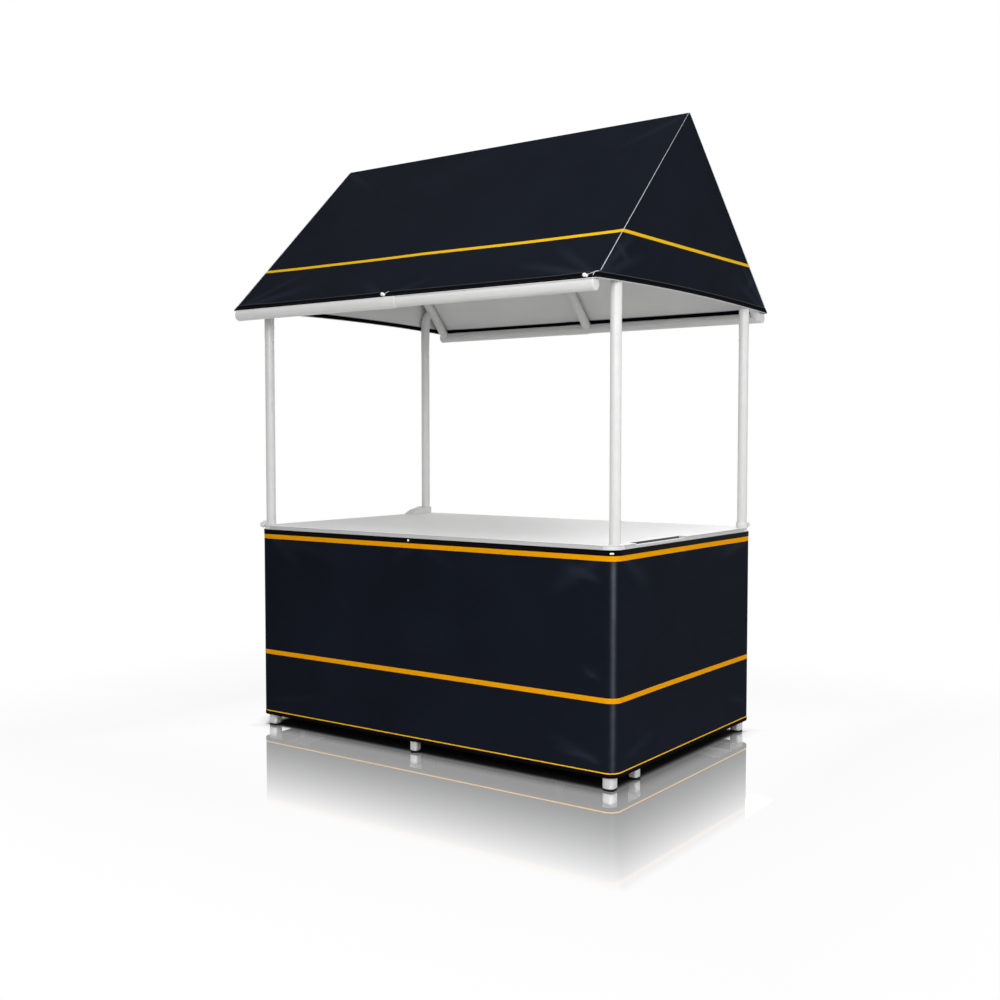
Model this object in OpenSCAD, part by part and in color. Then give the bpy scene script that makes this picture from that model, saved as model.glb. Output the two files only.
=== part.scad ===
// Market stall: a skirted counter on a tube frame, four posts and a gabled cloth canopy.
// Millimetres. X runs along the stall, the customer stands on the -Y side, Z is up,
// and the origin is on the floor under the middle of the stall.

/* [Counter] */
// Length of the counter over its skirt
stall_l = 1840; // [1400:10:2400]
// Width of the counter over its skirt
stall_w = 1180; // [900:10:1400]
// Height of the counter's surface
top_z = 905; // [800:5:1000]
// Thickness of the counter board
top_t = 20; // [15:1:30]
// How far the skirt's upper edge is below the surface
skirt_drop = 17; // [8:1:19]
// Height of the skirt's lower edge above the floor
skirt_gap = 54; // [53:1:90]
// Radius of the skirt's vertical corners
corner_r = 45; // [36:1:46]

/* [Base frame] */
// Side of the square tube in legs and top rails
leg_s = 40; // [30:1:40]
// Side of the square tube in the inner legs and base rails
inner_s = 34; // [25:1:36]
// Side of a foot
foot_s = 48; // [41:1:50]
// Height of a foot's top above the floor
foot_top = 52; // [40:1:52]
// Height of the base rails' middle
base_rail_z = 110; // [80:5:200]
// Distance of the side feet in front of the stall's middle
side_leg_y = 365; // [200:5:420]
// Distance of a corner leg from the stall's middle, along X
leg_x = 875; // [860:1:876]
// Place of the middle legs along X, left of the stall's middle where it is negative
mid_x = -52; // [-120:2:120]

/* [Posts and roof frame] */
// Diameter of the posts
post_d = 42; // [38:1:44]
// Distance of a post from the stall's middle, along X
post_x = 892; // [884:1:892]
// Distance of a post from the stall's middle, along Y
post_y = 548; // [500:1:552]
// Radius of the bend at the top of a post
bend_r = 90; // [70:5:120]
// Diameter of the rafters
rafter_d = 43; // [38:1:44]
// Distance of an outer rafter's foot from the stall's middle, along X
rafter_x = 883; // [876:1:883]
// Diameter of the eave tubes
eave_d = 45; // [45:1:47]
// Diameter of the sleeve over the left half of each eave tube
sleeve_d = 48; // [48:1:50]
// Diameter of the ridge tube
ridge_d = 48; // [46:1:48]
// Height of the eave tubes' axis
eave_z = 1828; // [1700:5:1950]
// Distance of an eave tube's axis from the stall's middle
eave_y = 712; // [660:1:760]
// Height of the ridge tube's axis
ridge_z = 2537; // [2400:1:2600]
// Length of the eave tubes
eave_l = 1816; // [1812:2:1832]

/* [Canopy] */
// Length of the canopy over its gables, at the hem
canopy_l = 1840; // [1840:2:1860]
// How far each gable leans inwards from its hem to its peak
lean_in = 20; // [0:1:20]
// Thickness of the canopy cloth
cloth_t = 2.2; // [2:0.1:3]
// Height of the canopy's lower hem
hem_z = 1850; // [1846:1:1856]
// Rise of the arched hem in the middle of a gable
arch_h = 24; // [10:1:40]

/* [Hidden] */
$fn = 48;

powder_white = [0.90, 0.90, 0.89];
board_white = [0.93, 0.93, 0.92];
cloth_navy = [0.10, 0.11, 0.14];
foot_silver = [0.80, 0.81, 0.82];
pad_black = [0.05, 0.05, 0.05];

fit = 0.3;                       // gap between cloth and tube
skirt_t = 2;                     // thickness of the skirt cloth
pad_t = 7;                       // thickness of a rubber pad
pad_inset = 2;                   // the pad is this much smaller than its foot all round
board_inset = skirt_t + 0.5;     // the board ends this far inside the skirt's outer face
rail_top = top_z - top_t;        // top of the top rails, under the board
rail_bottom = rail_top - leg_s;
foot_round = 16;                 // radius of a corner foot's upright edges
inner_foot_round = 12;
inner_foot_s = inner_s + 4;
groove_x = 886;                  // a groove runs along the board's right end
groove_w = 12;
groove_deep = 12;
groove_l = 400;
groove_front = 435;
lip_drop = 7;                    // and the lip outside it is this much lower
flange_r = 28;
flange_t = 4;
casting_reach = flange_r + 1;    // a corner casting reaches this far in from its post's axis
casting_gap = 0.3;               // and this far off the board
collar_r = 26;
collar_h = 24;
block_w = 52;                    // the long block under the rear left post
block_h = 35;
block_reach = 138;
stud_r = 6.5;
stud_t = 3;
stud_drop = 9;                   // studs sit this far below the skirt's upper edge
stud_turn = 33;                  // a corner stud's place on its corner, in degrees
toggle_r = 9;
toggle_x = 872;
toggle_mid_x = -62;
cap_t = 3;                       // an eave tube's end cap stands this far off the tube
ridge_cap_t = 3;
bend_play = 1;                   // the bend is this much thinner than the tube it plugs into
bend_grip = 1.5;                 // and turns this many degrees into it at either end

slope_a = atan2(ridge_z - eave_z, eave_y);               // slope of the roof
post_turn = 90 - slope_a;                                // a post's bend, up to square with the rafter
cloth_in = sleeve_d / 2 + fit;                           // the cloth's inner face, off the frame's plane
cloth_out = cloth_in + cloth_t;
bend_y = bend_r * (1 - cos(post_turn));
bend_h = bend_r * sin(post_turn);
post_bend_z = 1876;                                      // where a post starts to bend
// Length of the straight run from the bend to the rafter's axis
head_l = (ridge_z - (post_y + bend_y) * tan(slope_a) - post_bend_z - bend_h)
    / (cos(post_turn) + sin(post_turn) * tan(slope_a));

// The ridge tube ends just inside the gables
ridge_l = canopy_l - 2 * (lean_in + cloth_t + ridge_cap_t + 0.5);
lean_a = atan2(lean_in, apex_z(cloth_out) - hem_z);      // lean of a gable
rafter_lean = atan2(lean_in * (ridge_z - eave_z) / (apex_z(cloth_out) - hem_z), rafter_len());

function rafter_len() = norm([eave_y, ridge_z - eave_z]);
// Height of a face that runs off the frame's plane by d, above the stall's middle
function apex_z(d) = ridge_z + d / cos(slope_a);
// Distance from the middle at which that face is at height z
function slope_y(d, z) = (apex_z(d) - z) / tan(slope_a);

// ---- helpers ---------------------------------------------------------------

module rounded_block(size, r, h) {
    for (a = [-1, 1]) translate([-size / 2 + (a + 1) * r / 2, -size / 2 + (1 - a) * r / 2, 0])
        cube([size - (a + 1) * r, size - (1 - a) * r, h]);
    for (x = [-1, 1], y = [-1, 1]) translate([x * (size / 2 - r), y * (size / 2 - r), 0])
        cylinder(r = r, h = h);
}

module square_post(size, h) {
    translate([-size / 2, -size / 2, 0]) cube([size, size, h]);
}

// A cylinder along X whose middle is at x
module tube_x(d, x_from, x_to) {
    translate([x_from, 0, 0]) rotate([0, 90, 0]) cylinder(d = d, h = x_to - x_from);
}

// ---- base ------------------------------------------------------------------

module foot_places(corner) {
    if (corner) for (x = [-1, 1], y = [-1, 1]) translate([x * leg_x, y * post_y, 0]) children();
    else {
        for (y = [-1, 1]) translate([mid_x, y * post_y, 0]) children();
        for (x = [-1, 1]) translate([x * leg_x, -side_leg_y, 0]) children();
    }
}

module foot_pads() {
    color(pad_black) {
        foot_places(true) rounded_block(foot_s - 2 * pad_inset, foot_round - pad_inset, pad_t);
        foot_places(false) rounded_block(inner_foot_s - 2 * pad_inset, inner_foot_round - pad_inset, pad_t);
    }
}

module corner_feet() {
    color(foot_silver) foot_places(true) translate([0, 0, pad_t])
        rounded_block(foot_s, foot_round, foot_top - pad_t);
}

module inner_feet() {
    color(foot_silver) foot_places(false) translate([0, 0, pad_t])
        rounded_block(inner_foot_s, inner_foot_round, foot_top - pad_t);
}

module corner_legs() {
    color(powder_white) foot_places(true) translate([0, 0, foot_top])
        square_post(leg_s, rail_top - foot_top);
}

module inner_legs() {
    color(powder_white) foot_places(false) translate([0, 0, foot_top])
        square_post(inner_s, rail_bottom - foot_top);
}

module long_base_rails() {
    color(powder_white) for (x = [-1, 1], y = [-1, 1]) {
        run = leg_x - leg_s / 2 - x * mid_x - inner_s / 2;
        translate([mid_x + x * (inner_s + run) / 2, y * post_y, base_rail_z])
            cube([run, inner_s, inner_s], center = true);
    }
}

module short_base_rails() {
    leg_side = post_y - leg_s / 2;
    rear_run = leg_side + side_leg_y - inner_s / 2;
    front_run = leg_side - side_leg_y - inner_s / 2;
    color(powder_white) for (x = [-1, 1]) translate([x * leg_x, 0, base_rail_z]) {
        translate([0, leg_side - rear_run / 2, 0]) cube([inner_s - 8, rear_run, inner_s], center = true);
        translate([0, -leg_side + front_run / 2, 0]) cube([inner_s - 8, front_run, inner_s], center = true);
    }
}

module long_top_rail(y) {
    color(powder_white) translate([-leg_x + leg_s / 2, y * post_y - leg_s / 2, rail_bottom])
        cube([2 * leg_x - leg_s, leg_s, leg_s]);
}

module short_top_rail(x) {
    color(powder_white) translate([x * leg_x - leg_s / 2, -post_y + leg_s / 2, rail_bottom])
        cube([leg_s, 2 * post_y - leg_s, leg_s]);
}

module cross_rail() {
    color(powder_white) translate([mid_x - inner_s / 2, -post_y + leg_s / 2, rail_bottom])
        cube([inner_s, 2 * post_y - leg_s, leg_s]);
}

// ---- counter ---------------------------------------------------------------

module rounded_slab(l, w, r, h) {
    translate([-l / 2 + r, -w / 2, 0]) cube([l - 2 * r, w, h]);
    translate([-l / 2, -w / 2 + r, 0]) cube([l, w - 2 * r, h]);
    for (x = [-1, 1], y = [-1, 1]) translate([x * (l / 2 - r), y * (w / 2 - r), 0]) cylinder(r = r, h = h);
}

module board_outline() {
    rounded_slab(stall_l - 2 * board_inset, stall_w - 2 * board_inset, corner_r - board_inset, top_t);
}

// How far the casting at a corner reaches in from its post's axis, along Y
function reach_y(x, y) = x < 0 && y > 0 ? block_reach : casting_reach;

// The whole height of a corner of the board, as far in as the casting there reaches
module board_corner(x, y, gap) {
    translate([x * post_x, y * post_y, -1]) mirror([x < 0 ? 1 : 0, 0, 0]) mirror([0, y < 0 ? 1 : 0, 0])
        translate([gap - casting_reach, gap - reach_y(x, y), 0])
            cube([120, reach_y(x, y) + 120, top_t + 2]);
}

module counter_top() {
    color(board_white) translate([0, 0, rail_top]) difference() {
        board_outline();
        translate([groove_x, -groove_front, top_t - groove_deep])
            cube([groove_w, groove_l, groove_deep + 1]);
        translate([groove_x + 1, -groove_front, top_t - lip_drop])
            cube([60, groove_l, lip_drop + 1]);
        for (x = [-1, 1], y = [-1, 1]) board_corner(x, y, 0);
    }
}

skirt_h = top_z - skirt_drop - skirt_gap;

module skirt_long_side(y) {
    face_y = y > 0 ? stall_w / 2 - skirt_t : -stall_w / 2;
    color(cloth_navy) translate([-stall_l / 2 + corner_r, face_y, skirt_gap])
        cube([stall_l - 2 * corner_r, skirt_t, skirt_h]);
}

module skirt_short_side(x) {
    face_x = x > 0 ? stall_l / 2 - skirt_t : -stall_l / 2;
    color(cloth_navy) translate([face_x, -stall_w / 2 + corner_r, skirt_gap])
        cube([skirt_t, stall_w - 2 * corner_r, skirt_h]);
}

// The skirt turns each corner in a quarter of a ring
module skirt_corners() {
    color(cloth_navy) for (x = [-1, 1], y = [-1, 1])
        translate([x * (stall_l / 2 - corner_r), y * (stall_w / 2 - corner_r), skirt_gap])
            mirror([x < 0 ? 1 : 0, 0, 0]) mirror([0, y < 0 ? 1 : 0, 0]) rotate_extrude(angle = 90)
                translate([corner_r - skirt_t, 0]) square([skirt_t, skirt_h]);
}

module skirt_studs() {
    stud_z = top_z - skirt_drop - stud_drop;
    color(powder_white) for (y = [-1, 1]) {
        translate([mid_x, y * stall_w / 2, stud_z]) rotate([y * -90, 0, 0])
            cylinder(r = stud_r, h = stud_t);
        translate([-y * (stall_l / 2 - corner_r), y * (stall_w / 2 - corner_r), stud_z])
            rotate([y * -90, 0, stud_turn]) translate([0, 0, corner_r - 0.4])
                cylinder(r = stud_r, h = stud_t + 0.4);
    }
}

// ---- posts -----------------------------------------------------------------

// A ball on a neck that points out of the corner
module corner_ball(x, y, out, r, neck_z, ball_z) {
    rotate([0, 0, atan2(y * out[1], x * out[0])]) {
        translate([0, 0, neck_z]) rotate([0, 90, 0]) cylinder(r = r * 0.6, h = norm(out));
        translate([norm(out), 0, ball_z]) sphere(r = r);
    }
}

// The rear left post stands on a block that runs forward along the board's end and slopes down
module long_block() {
    intersection() {
        union() {
            cylinder(d = block_w, h = block_h);
            translate([-block_w / 2, -block_reach, 0]) cube([block_w, block_reach, block_h]);
        }
        translate([-block_w, 0, 0]) rotate([90, 0, 90]) linear_extrude(2 * block_w) polygon([
            [-block_reach + 1, 0], [block_w, 0], [block_w, block_h], [-30, block_h], [-100, block_h * 0.62],
            [-block_reach + 1, 5]
        ]);
    }
}

// The casting that makes a corner of the counter and holds its post
module post_socket(x, y) {
    color(powder_white) difference() {
        union() {
            translate([0, 0, rail_top]) intersection() {
                board_outline();
                board_corner(x, y, casting_gap);
            }
            translate([x * post_x, y * post_y, top_z]) {
                rotate_extrude() polygon([
                    [0, 0], [flange_r, 0], [flange_r, flange_t - 2], [flange_r - 2, flange_t], [0, flange_t]
                ]);
                if (x < 0 && y < 0) {
                    rotate_extrude()
                        polygon([[0, 0], [flange_r - 1, 3], [24.5, 6], [23, 10], [22.5, 14], [0, 14]]);
                    corner_ball(x, y, [29, 22], 13.5, 9, 2);
                }
                if (x > 0 && y > 0) {
                    rotate_extrude() polygon([
                        [0, 0], [collar_r, 0], [collar_r, collar_h - 2], [collar_r - 2, collar_h],
                        [0, collar_h]
                    ]);
                    corner_ball(x, y, [18, 14], 12, 12.5, 12.5);
                }
                if (x < 0 && y > 0) long_block();
            }
        }
        translate([x * post_x, y * post_y, top_z]) cylinder(d = post_d, h = block_h + 1);
    }
}

// A post, drawn as the rear one: upright, then bent outwards so that it meets the rafter squarely.
// The bend is swaged: a little thinner, and plugged into the straight tubes at both ends.
module post_body() {
    translate([0, 0, top_z]) cylinder(d = post_d, h = post_bend_z - top_z);
    translate([0, bend_r, post_bend_z]) rotate([90, 0, 90]) rotate([0, 0, 180 - post_turn - bend_grip])
        rotate_extrude(angle = post_turn + 2 * bend_grip)
            translate([bend_r, 0]) circle(d = post_d - bend_play);
    translate([0, bend_y, post_bend_z + bend_h]) rotate([-post_turn, 0, 0])
        cylinder(d = post_d, h = head_l);
}

module post(x, y) {
    color(powder_white) mirror([0, y < 0 ? 1 : 0, 0]) difference() {
        translate([x * post_x, post_y, 0]) post_body();
        rafter_axis(x) translate([0, 0, -20]) cylinder(d = rafter_d, h = rafter_len() + 40);
    }
}

// ---- roof frame ------------------------------------------------------------

// Moves a cylinder onto a rear rafter's line, with its foot on the eave tube's axis.
// The outer rafters, at x of -1 and 1, lean in with the gables.
module rafter_axis(x) {
    translate([x * rafter_x, eave_y, eave_z]) rotate([90 - slope_a, 0, 0])
        rotate([0, -x * rafter_lean, 0]) children();
}

module rafter(x, y) {
    foot_d = x <= 0 ? sleeve_d : eave_d;
    color(powder_white) mirror([0, y < 0 ? 1 : 0, 0]) difference() {
        rafter_axis(x) cylinder(d = rafter_d, h = rafter_len());
        translate([x * rafter_x, eave_y, eave_z]) tube_x(foot_d, -60, 60);
        translate([x * rafter_x, 0, ridge_z]) tube_x(ridge_d, -80, 80);
        translate([x * rafter_x - 80, -120, ridge_z - 120]) cube([160, 120, 240]);
    }
}

module ridge_tube() {
    color(powder_white) translate([0, 0, ridge_z]) tube_x(ridge_d, -ridge_l / 2, ridge_l / 2);
}

module eave_tube(y) {
    color(powder_white) translate([0, y * eave_y, eave_z]) tube_x(eave_d, 0, eave_l / 2 - cap_t);
}

module eave_sleeve(y) {
    color(powder_white) translate([0, y * eave_y, eave_z]) tube_x(sleeve_d, -eave_l / 2 + cap_t, 0);
}

// A domed cap on the end of a tube along X; end is 1 for a tube's right end, -1 for its left
module end_cap(end, d, h) {
    rotate([0, end * 90, 0]) rotate_extrude() polygon([
        [0, 0], [d / 2, 0], [d / 2, h * 0.3], [d / 2 - 1, h * 0.55], [d / 2 - 3, h * 0.78],
        [d / 2 - 7, h * 0.93], [d / 2 - 13, h], [0, h]
    ]);
}

module eave_caps() {
    color(powder_white) for (y = [-1, 1]) translate([0, y * eave_y, eave_z]) {
        translate([-eave_l / 2 + cap_t, 0, 0]) end_cap(-1, sleeve_d, cap_t);
        translate([eave_l / 2 - cap_t, 0, 0]) end_cap(1, eave_d, cap_t);
    }
}

module ridge_caps() {
    color(powder_white) translate([0, 0, ridge_z]) for (x = [-1, 1])
        translate([x * ridge_l / 2, 0, 0]) end_cap(x, ridge_d - 2, ridge_cap_t);
}

// ---- canopy ----------------------------------------------------------------

module slope_outline() {
    polygon([
        [0, apex_z(cloth_in)], [0, apex_z(cloth_out)],
        [slope_y(cloth_out, hem_z), hem_z], [slope_y(cloth_in, hem_z), hem_z]
    ]);
}

// Moves a child that stands on the floor's plane onto a gable's plane, which leans in from its hem
module gable_plane(x) {
    translate([x * canopy_l / 2, 0, hem_z]) rotate([0, -x * lean_a, 0]) children();
}

module roof_slope(y) {
    color(cloth_navy) mirror([0, y < 0 ? 1 : 0, 0]) difference() {
        translate([-canopy_l / 2, 0, 0]) rotate([90, 0, 90]) linear_extrude(canopy_l) slope_outline();
        for (x = [-1, 1]) gable_plane(x) translate([x * 60, 0, 0]) cube([120, 2000, 2000], center = true);
    }
}

module gable(x) {
    half = slope_y(cloth_in, hem_z);
    peak = (apex_z(cloth_in) - hem_z) / cos(lean_a);
    arch_r = (half * half + arch_h * arch_h) / (2 * arch_h);
    color(cloth_navy) gable_plane(x) translate([x > 0 ? -cloth_t : 0, 0, 0]) difference() {
        rotate([90, 0, 90]) linear_extrude(cloth_t) polygon([[-half, 0], [half, 0], [0, peak]]);
        translate([-1, 0, arch_h - arch_r]) rotate([0, 90, 0])
            cylinder(r = arch_r, h = cloth_t + 2, $fn = 400);
    }
}

module canopy_toggles() {
    hem_y = slope_y(cloth_out, hem_z);
    color(powder_white) for (x = [toggle_mid_x, toggle_x], y = [-1, 1])
        translate([x, y * (hem_y + toggle_r * 0.6), hem_z + toggle_r * 0.9]) sphere(r = toggle_r);
}

foot_pads();
corner_feet();
inner_feet();
corner_legs();
inner_legs();
long_base_rails();
short_base_rails();
long_top_rail(-1);  // top_rail_front
long_top_rail(1);  // top_rail_rear
short_top_rail(-1);  // top_rail_left
short_top_rail(1);  // top_rail_right
cross_rail();
counter_top();
skirt_long_side(-1);  // skirt_front
skirt_short_side(1);  // skirt_right
skirt_long_side(1);  // skirt_rear
skirt_short_side(-1);  // skirt_left
skirt_corners();
skirt_studs();
post_socket(-1, -1);  // socket_front_left
post_socket(1, -1);  // socket_front_right
post_socket(-1, 1);  // socket_rear_left
post_socket(1, 1);  // socket_rear_right
post(-1, -1);  // post_front_left
post(1, -1);  // post_front_right
post(-1, 1);  // post_rear_left
post(1, 1);  // post_rear_right
rafter(-1, -1);  // rafter_front_left
rafter(0, -1);  // rafter_front_middle
rafter(1, -1);  // rafter_front_right
rafter(-1, 1);  // rafter_rear_left
rafter(0, 1);  // rafter_rear_middle
rafter(1, 1);  // rafter_rear_right
ridge_tube();
eave_tube(-1);  // eave_tube_front
eave_sleeve(-1);  // eave_sleeve_front
eave_tube(1);  // eave_tube_rear
eave_sleeve(1);  // eave_sleeve_rear
eave_caps();
ridge_caps();
roof_slope(-1);  // roof_front
roof_slope(1);  // roof_rear
gable(-1);  // gable_left
gable(1);  // gable_right
canopy_toggles();
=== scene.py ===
"""Market stall with a gabled canopy: its cloth, board, feet, fittings and finishes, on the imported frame."""

import math

import bpy
from mathutils import Matrix, Vector, noise


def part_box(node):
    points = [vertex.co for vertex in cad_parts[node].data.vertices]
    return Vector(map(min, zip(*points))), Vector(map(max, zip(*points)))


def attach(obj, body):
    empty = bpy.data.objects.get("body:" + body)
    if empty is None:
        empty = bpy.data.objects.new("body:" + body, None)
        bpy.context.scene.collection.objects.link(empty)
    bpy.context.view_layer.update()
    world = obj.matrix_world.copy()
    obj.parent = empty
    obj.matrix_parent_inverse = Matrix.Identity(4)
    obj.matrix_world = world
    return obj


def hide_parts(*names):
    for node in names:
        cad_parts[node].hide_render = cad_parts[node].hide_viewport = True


bl_info = {
    "name": "Market Stall",
    "version": (1, 0, 0),
    "blender": (4, 5, 0),
    "location": "3D View > Sidebar > Stall",
    "description": "Makes a market stall with a skirted counter and a gabled cloth canopy",
    "category": "Object",
}

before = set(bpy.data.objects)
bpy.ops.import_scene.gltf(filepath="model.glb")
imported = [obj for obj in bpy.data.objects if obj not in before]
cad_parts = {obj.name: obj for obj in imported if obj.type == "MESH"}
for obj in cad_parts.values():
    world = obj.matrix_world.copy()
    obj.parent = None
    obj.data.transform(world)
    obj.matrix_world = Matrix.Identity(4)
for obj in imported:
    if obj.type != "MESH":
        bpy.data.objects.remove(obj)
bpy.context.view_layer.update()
BODY = "root"

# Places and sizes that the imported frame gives, in metres.
ROOF_LOW, ROOF_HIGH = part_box("roof_front")
RIDGE_LOW, RIDGE_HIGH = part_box("ridge_tube")
PEAK_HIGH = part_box("ridge_caps")[1]
SLEEVE_LOW, SLEEVE_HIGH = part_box("eave_sleeve_front")
EAVE_LOW, EAVE_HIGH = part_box("eave_tube_front")
CAPS_LOW, CAPS_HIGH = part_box("eave_caps")
POST_LOW, POST_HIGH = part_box("post_rear_right")
BOARD_LOW, BOARD_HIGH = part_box("counter_top")
CORNERS_LOW, CORNERS_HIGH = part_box("skirt_corners")
FRONT_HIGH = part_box("skirt_front")[1]
FOOT_LOW, FOOT_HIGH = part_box("corner_feet")
CROSS_LOW, CROSS_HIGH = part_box("cross_rail")

HALF_LENGTH = ROOF_HIGH.x                      # canopy, half its length at the hem
PEAK_LENGTH = PEAK_HIGH.x + 0.0027             # and at the ridge, because the gables lean in
APEX_Z = ROOF_HIGH.z                           # highest line of the canopy
HEM_Z = ROOF_LOW.z                             # its lower edge
HEM_Y = -ROOF_LOW.y                            # its lower edge, from the middle
SLOPE = math.atan2(APEX_Z - HEM_Z, HEM_Y)      # angle of the roof
SLOPE_RUN = math.hypot(APEX_Z - HEM_Z, HEM_Y)  # from the ridge down to the hem
GABLE_ARCH = 0.014                             # rise of a gable's hem in its middle
RIDGE_Z = (RIDGE_LOW.z + RIDGE_HIGH.z) / 2
RIDGE_R = (RIDGE_HIGH.z - RIDGE_LOW.z) / 2
SLEEVE_R = (SLEEVE_HIGH.z - SLEEVE_LOW.z) / 2
EAVE_R = (EAVE_HIGH.z - EAVE_LOW.z) / 2
EAVE_Z = (SLEEVE_LOW.z + SLEEVE_HIGH.z) / 2
EAVE_Y = -(SLEEVE_LOW.y + SLEEVE_HIGH.y) / 2
EAVE_SLOPE = math.atan2(RIDGE_Z - EAVE_Z, EAVE_Y)
POST_R = (POST_HIGH.x - POST_LOW.x) / 2
POST_X = (POST_HIGH.x + POST_LOW.x) / 2
POST_Y = POST_LOW.y + POST_R
POST_BEND_Z = 1.876                            # where a post starts to bend outwards
POST_BEND_R = 0.090                            # radius of that bend
SLEEVE_LIP_Z = 1.739                           # lower lip of the sleeve on each post
BUTTON_Z = 1.720                               # spring buttons, just below that lip
RAFTER_R = 0.0215
RAFTER_X = 0.883                               # foot of an outer rafter
LEAN = (HALF_LENGTH - PEAK_LENGTH) / (APEX_Z - HEM_Z)  # of a gable, for each metre of height
BOARD_TOP = BOARD_HIGH.z
SKIRT_X = CORNERS_HIGH.x                       # outer faces of the skirt
SKIRT_Y = CORNERS_HIGH.y
SKIRT_LOW = CORNERS_LOW.z
SKIRT_TOP = CORNERS_HIGH.z
SKIRT_CORNER = CORNERS_HIGH.x - FRONT_HIGH.x   # radius of its corners
LEG_X = FOOT_HIGH.x - 0.024                    # corner feet, from the middle
MID_X = (CROSS_LOW.x + CROSS_HIGH.x) / 2       # middle feet, left of the middle
SIDE_FOOT_Y = -0.365
GROOVE = (0.886, 0.898, -0.435, -0.035)        # groove along the board's right end
SIGNS = (-1, 1)
CAMERA_PLACE = (3.077, -4.2955, 1.2836)
CAMERA_TURN = (math.radians(87.15), 0.0, math.radians(35.77))
CAMERA_LENS = 42.94                            # millimetres, on a sensor 36 millimetres wide


# ---- settings that a user may change ------------------------------------------------

class StallCanopySettings(bpy.types.PropertyGroup):
    """Sizes of the canopy's cloth, seams and print"""
    cloth_thickness: bpy.props.FloatProperty(
        name="Cloth Thickness", description="Thickness of the canopy cloth",
        default=0.0016, min=0.0008, max=0.003, unit="LENGTH")
    sag: bpy.props.FloatProperty(
        name="Sag", description="How far a slope sags between two rafters",
        default=0.003, min=0.0, max=0.02, unit="LENGTH")
    hem_depth: bpy.props.FloatProperty(
        name="Hem Depth", description="Height of the binding on the lower edge, along the slope",
        default=0.027, min=0.01, max=0.05, unit="LENGTH")
    stripe_height: bpy.props.FloatProperty(
        name="Stripe Height", description="Height of the printed stripe above the floor",
        default=2.036, min=1.9, max=2.4, unit="LENGTH")
    stripe_width: bpy.props.FloatProperty(
        name="Stripe Width", description="Width of the printed stripe",
        default=0.0122, min=0.005, max=0.05, unit="LENGTH")
    piping_radius: bpy.props.FloatProperty(
        name="Piping Radius", description="Radius of the piping in the seams of the gables, at the hem",
        default=0.0016, min=0.001, max=0.004, unit="LENGTH")


class StallSkirtSettings(bpy.types.PropertyGroup):
    """Sizes of the skirt's cloth, bands and print"""
    cloth_thickness: bpy.props.FloatProperty(
        name="Cloth Thickness", description="Thickness of the skirt cloth",
        default=0.0014, min=0.0008, max=0.003, unit="LENGTH")
    top_band: bpy.props.FloatProperty(
        name="Top Band", description="Depth of the dark binding on the upper edge",
        default=0.0210, min=0.01, max=0.04, unit="LENGTH")
    hem_band: bpy.props.FloatProperty(
        name="Hem Band", description="Depth of the dark binding on the lower edge",
        default=0.0155, min=0.008, max=0.03, unit="LENGTH")
    stripe_width: bpy.props.FloatProperty(
        name="Stripe Width", description="Width of the two broad printed stripes",
        default=0.0193, min=0.005, max=0.05, unit="LENGTH")
    middle_stripe: bpy.props.FloatProperty(
        name="Middle Stripe", description="Height of the lower broad stripe above the floor",
        default=0.3385, min=0.1, max=0.7, unit="LENGTH")
    line_width: bpy.props.FloatProperty(
        name="Line Width", description="Width of the thin printed line above the hem",
        default=0.0044, min=0.002, max=0.02, unit="LENGTH")
    fold_height: bpy.props.FloatProperty(
        name="Fold Height", description="How far the pulls in the cloth stand out",
        default=0.0070, min=0.0, max=0.012, unit="LENGTH")
    # Width of the painted highlight down each corner of the skirt.
    highlight_width: bpy.props.FloatProperty(
        name="Highlight Width", description="Half the width of the lighter line down each corner",
        default=0.0085, min=0.002, max=0.03, unit="LENGTH")


class StallFinishSettings(bpy.types.PropertyGroup):
    """Colours of the stall's finishes"""
    navy: bpy.props.FloatVectorProperty(
        name="Navy Cloth", description="Colour of the outer cloth",
        default=(0.0072, 0.0092, 0.0144), min=0.0, max=1.0, subtype="COLOR")
    lining: bpy.props.FloatVectorProperty(
        name="Lining", description="Colour of the coated inner face of the canopy",
        default=(0.745, 0.745, 0.74), min=0.0, max=1.0, subtype="COLOR")
    orange: bpy.props.FloatVectorProperty(
        name="Orange Print", description="Colour of the printed stripes",
        default=(0.84, 0.345, 0.0015), min=0.0, max=1.0, subtype="COLOR")
    amber: bpy.props.FloatVectorProperty(
        name="Amber Print", description="Colour of the canopy's printed stripe",
        default=(0.86, 0.50, 0.010), min=0.0, max=1.0, subtype="COLOR")
    yellow: bpy.props.FloatVectorProperty(
        name="Yellow Print", description="Colour of the thin printed line above the skirt's hem",
        default=(0.93, 0.50, 0.012), min=0.0, max=1.0, subtype="COLOR")
    binding: bpy.props.FloatVectorProperty(
        name="Black Binding", description="Colour of the bindings on the edges",
        default=(0.0035, 0.0036, 0.0045), min=0.0, max=1.0, subtype="COLOR")
    thread: bpy.props.FloatVectorProperty(
        name="Thread", description="Colour of the sewing thread",
        default=(0.030, 0.031, 0.036), min=0.0, max=1.0, subtype="COLOR")
    piping: bpy.props.FloatVectorProperty(
        name="Piping", description="Colour of the piping in the gable seams",
        default=(0.46, 0.48, 0.52), min=0.0, max=1.0, subtype="COLOR")
    powder: bpy.props.FloatVectorProperty(
        name="Powder Coat", description="Colour of the coated tubes",
        default=(0.70, 0.70, 0.695), min=0.0, max=1.0, subtype="COLOR")
    board: bpy.props.FloatVectorProperty(
        name="Board", description="Colour of the counter board",
        default=(0.925, 0.925, 0.92), min=0.0, max=1.0, subtype="COLOR")


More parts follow.
